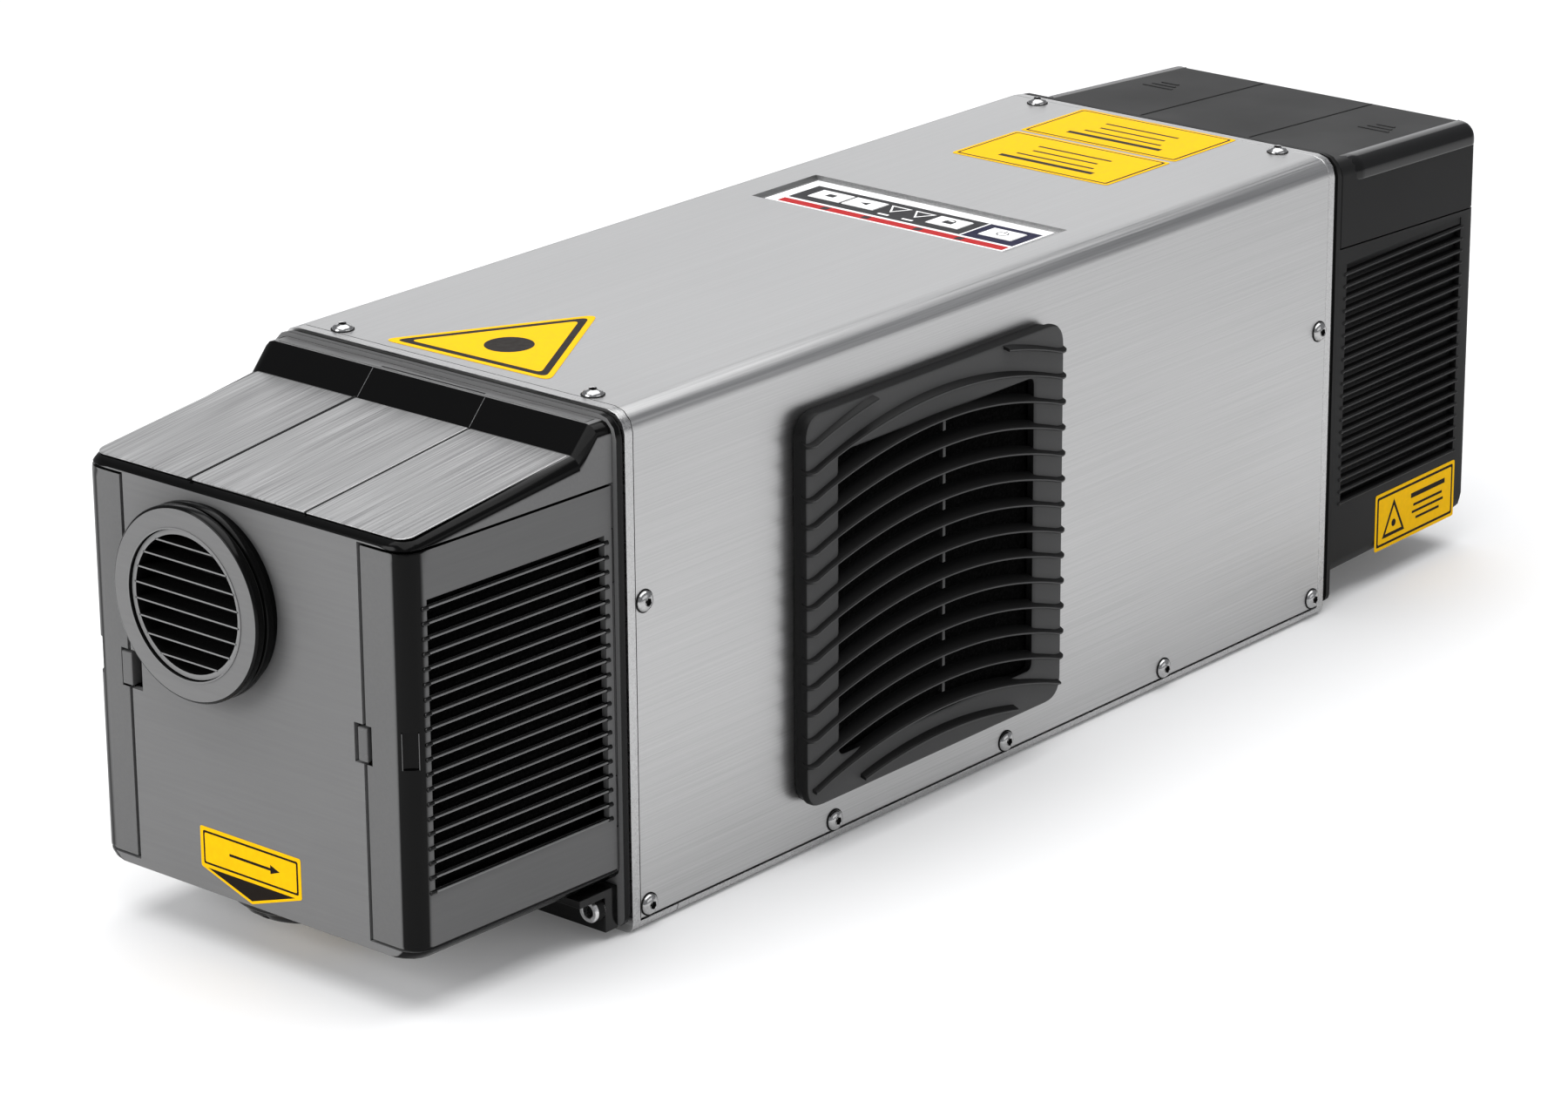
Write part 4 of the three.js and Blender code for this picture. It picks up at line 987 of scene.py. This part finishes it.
tilt = Vector((REAR_LENGTH, TAPER, 0)).normalized()
REAR_SIDE = frame_at((250.3, rear_wall(250.3, -1), 14.4), tilt, (tilt.y, -tilt.x, 0))
marks = [[(5.5, 4.5), (22.5, 4.5), (14, 20)], rectangle(27, 53, 16.5, 18.6)]
for short, v in ((2, 12.6), (1, 9.6), (4, 6.6)):
    marks.append(rectangle(27 + short, 53 - short, v, v + 1.1))
outline = rectangle(0, 60.5, 0, 24.6)
label("rear_side_label", outline, REAR_SIDE, radius=1.2, margin=1.4, line=1.1, marks=marks)
bm = bmesh.new()
sheet(bm, [(7.8, 6.0), (20.2, 6.0), (14, 17.2)], REAR_SIDE, 0.21, 0.24, 0)
sheet(bm, disc(14, 9.6, 1.6), REAR_SIDE, 0.24, 0.27, 1)
piece("rear_side_label_sign", bm, "main_unit", ["yellow", "black_ink"], flat_below=20)

# ---- Keypad ----

KEYPAD_TOP = frame_at((0, 0, 191.3), (1, 0, 0), (0, 0, 1))
KEYS = {name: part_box(f"{name}_key") for name in ("stop", "start", "shutter", "power")}


def keypad_print():
    """Coloured fields of the membrane, drawn in strips that leave the keys free."""
    bm = bmesh.new()
    x_low, x_high = 37.2, 47.8
    stops = sorted((low.y / MM + 0.6, high.y / MM - 0.6) for low, high in KEYS.values())

    def field(x0, x1, y0, y1, material):
        for a, b in ((x0, x_low), (x_high, x1)):
            sheet(bm, rectangle(a, b, y0, y1), KEYPAD_TOP, 0.01, 0.06, material)
        edges = [y0]
        for low, high in stops:
            if y0 < low and high < y1:
                edges += [low - 0.3, high + 0.3]
        edges.append(y1)
        for a, b in zip(edges[::2], edges[1::2]):
            sheet(bm, rectangle(x_low, x_high, a, b), KEYPAD_TOP, 0.01, 0.06, material)

    field(32.6, 51.2, -33.4, 50.6, 0)
    field(32.4, 51.2, -58.9, -34.4, 1)
    sheet(bm, rectangle(26.0, 30.6, -58.9, 50.6), KEYPAD_TOP, 0.01, 0.06, 2)
    for y in (28.5, 8.4, -17, -37):
        sheet(bm, rounded(rectangle(26.6, 30.0, y - 1.7, y + 1.7), 0.8), KEYPAD_TOP, 0.06, 0.09, 0)
    for y in (5.9, -5.9):
        sheet(bm, rounded(rectangle(35.0, 36.4, y - 2.6, y + 2.6), 0.4), KEYPAD_TOP, 0.06, 0.09, 3)
        sheet(bm, [(39.5, y), (47.5, y - 5), (47.5, y + 5)], KEYPAD_TOP, 0.06, 0.08, 3)
        sheet(bm, [(41.0, y), (46.6, y - 3.6), (46.6, y + 3.6)], KEYPAD_TOP, 0.06, 0.1, 0)
    finishes = ["panel", "navy", "red", "white"]
    piece("keypad_print", bm, "main_unit", finishes, flat_below=20)


keypad_print()


def key_sign(name, outlines):
    """Plain black signs on a key's cap."""
    low, high = KEYS[name]
    centre = (low + high) / 2 / MM
    place = frame_at((42.5, centre.y, high.z / MM), (1, 0, 0), (0, 0, 1))
    bm = bmesh.new()
    for outline in outlines:
        sheet(bm, outline, place, 0.005, 0.05, 0)
    piece(f"{name}_key_sign", bm, f"{name}_key", ["panel"], flat_below=20)


def arc_strip(radius, width, start, stop, steps=20):
    """A curved band as a row of small quadrilaterals; the angles are in degrees."""
    turns = [math.radians(start + (stop - start) * k / steps) for k in range(steps + 1)]
    inner = radius - width
    bands = []
    for a, b in zip(turns, turns[1:]):
        corners = ((radius, a), (radius, b), (inner, b), (inner, a))
        bands.append([(r * math.cos(t), r * math.sin(t)) for r, t in corners])
    return bands


key_sign("stop", [rectangle(-1.6, 1.6, -2, 2)])
key_sign("start", [[(-1.8, -1.8), (1.6, -1.8), (0, 2.2)]])
bow = [[(u + 0.8, v) for u, v in band] for band in arc_strip(2.1, 0.6, -90, 90, 10)]
key_sign("shutter", [rectangle(-2.2, 0.8, -2.4, 2.4), *bow])
key_sign("power", [rectangle(0.6, 3.2, -0.3, 0.3), *arc_strip(2.5, 0.5, 35, 325)])

# ---- Rear connections ----

plate_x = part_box("connector_plate")[1].x / MM


def socket_insert(name, y, z):
    """A multi-way data socket behind a slot of the connector plate."""
    bm = bmesh.new()
    for row, count in ((1.5, 8), (-1.5, 7)):
        for k in range(count):
            centre = y + (k - (count - 1) / 2) * 2.76
            lathe(bm, [(0.05, -2.4), (0.55, -2.4), (0.55, -0.9), (0.3, -0.5), (0.05, -0.4)],
                  frame_at((plate_x, centre, z + row), (0, 1, 0), (1, 0, 0)), 12, 1)
    # last, because pieces added after a bevel come out in no fixed order
    bar(bm, (plate_x - 8, y - 13.4, z - 5.4), (plate_x - 2.2, y + 13.4, z + 5.4), 0, 0.4)
    piece(name, bm, "main_unit", ["rear", "gold"])


socket_insert("upper_data_socket", 32, 108)
socket_insert("lower_data_socket", 32, 68)
plate_places = [
    frame_at((plate_x + 0.05, y, z), (0, 1, 0), (1, 0, 0)) for y in (-51, 51) for z in (43, 127)
]
screws("plate_screws", plate_places, head=2.6, height=1.5, socket=0.9)
bm = bmesh.new()
ring = [(8.9, 1.3), (10.6, 1.3), (11.4, 0.9), (11.6, 0.05), (8.9, 0.05), (8.9, 1.3)]
lathe(bm, ring, frame_at((plate_x, 8, 108), (0, 1, 0), (1, 0, 0)), 48)
piece("key_switch_ring", bm, "main_unit", ["chrome"])

# ---- Stage, light and camera ----

reach = 4  # metres from the middle to the floor's edges
bm = bmesh.new()
for x, y in ((-reach, -reach), (reach, -reach), (reach, reach), (-reach, reach)):
    bm.verts.new((x, y, 0.0))
bm.faces.new(bm.verts)
mesh = bpy.data.meshes.new("floor")
bm.to_mesh(mesh)
bm.free()
floor = bpy.data.objects.new("floor", mesh)
bpy.context.collection.objects.link(floor)
ground = Shader("floor_white", roughness=0.8, specular=0.2)
ground.colour(ground.mix(ground.mapped(ground.noise(3), 0, 1), grey(0.82), grey(0.84)))
ground.principled.inputs["Emission Color"].default_value = (1.0, 1.0, 1.0, 1.0)
ground.principled.inputs["Emission Strength"].default_value = 0.08
mesh.materials.append(ground.material)


def softbox(name, place, target, size, power):
    light = bpy.data.lights.new(name, "AREA")
    light.shape = "RECTANGLE"
    light.size, light.size_y = size
    light.energy = power
    obj = bpy.data.objects.new(name, light)
    bpy.context.collection.objects.link(obj)
    obj.location = place
    obj.rotation_euler = (Vector(target) - Vector(place)).to_track_quat("-Z", "Y").to_euler()


softbox("overhead", (0.0, 0.0, 2.0), (0, 0, 0), (3.2, 2.4), 62)
softbox("front_left", (-1.9, 0.6, 0.8), (-0.25, 0, 0.1), (1.2, 1.0), 22)
softbox("near_side", (0.3, -2.2, 0.8), (0.05, 0, 0.1), (2.0, 0.8), 5)
softbox("rear_glow", (2.6, 2.2, 1.2), (0, 0, 0.15), (3.0, 1.6), 13)

world = bpy.data.worlds.new("studio")
world.use_nodes = True
background = world.node_tree.nodes["Background"]
background.inputs["Color"].default_value = (0.95, 0.96, 1.0, 1.0)
background.inputs["Strength"].default_value = 0.35
scene = bpy.context.scene
scene.world = world
scene.view_settings.view_transform = "Standard"

camera_data = bpy.data.cameras.new("camera")
camera_data.sensor_width = 36.0
camera_data.lens = 123.4
camera_data.clip_end = 50
camera = bpy.data.objects.new("camera", camera_data)
bpy.context.collection.objects.link(camera)
right = Vector((0.64636, -0.76301, -0.00653))
up = Vector((0.25856, 0.21096, 0.94268))
back = Vector((-0.71789, -0.61100, 0.33364))
turn = Matrix((right, up, back)).transposed().to_4x4()
camera.matrix_world = Matrix.Translation((-1.4912, -1.2429, 0.7550)) @ turn
scene.camera = camera
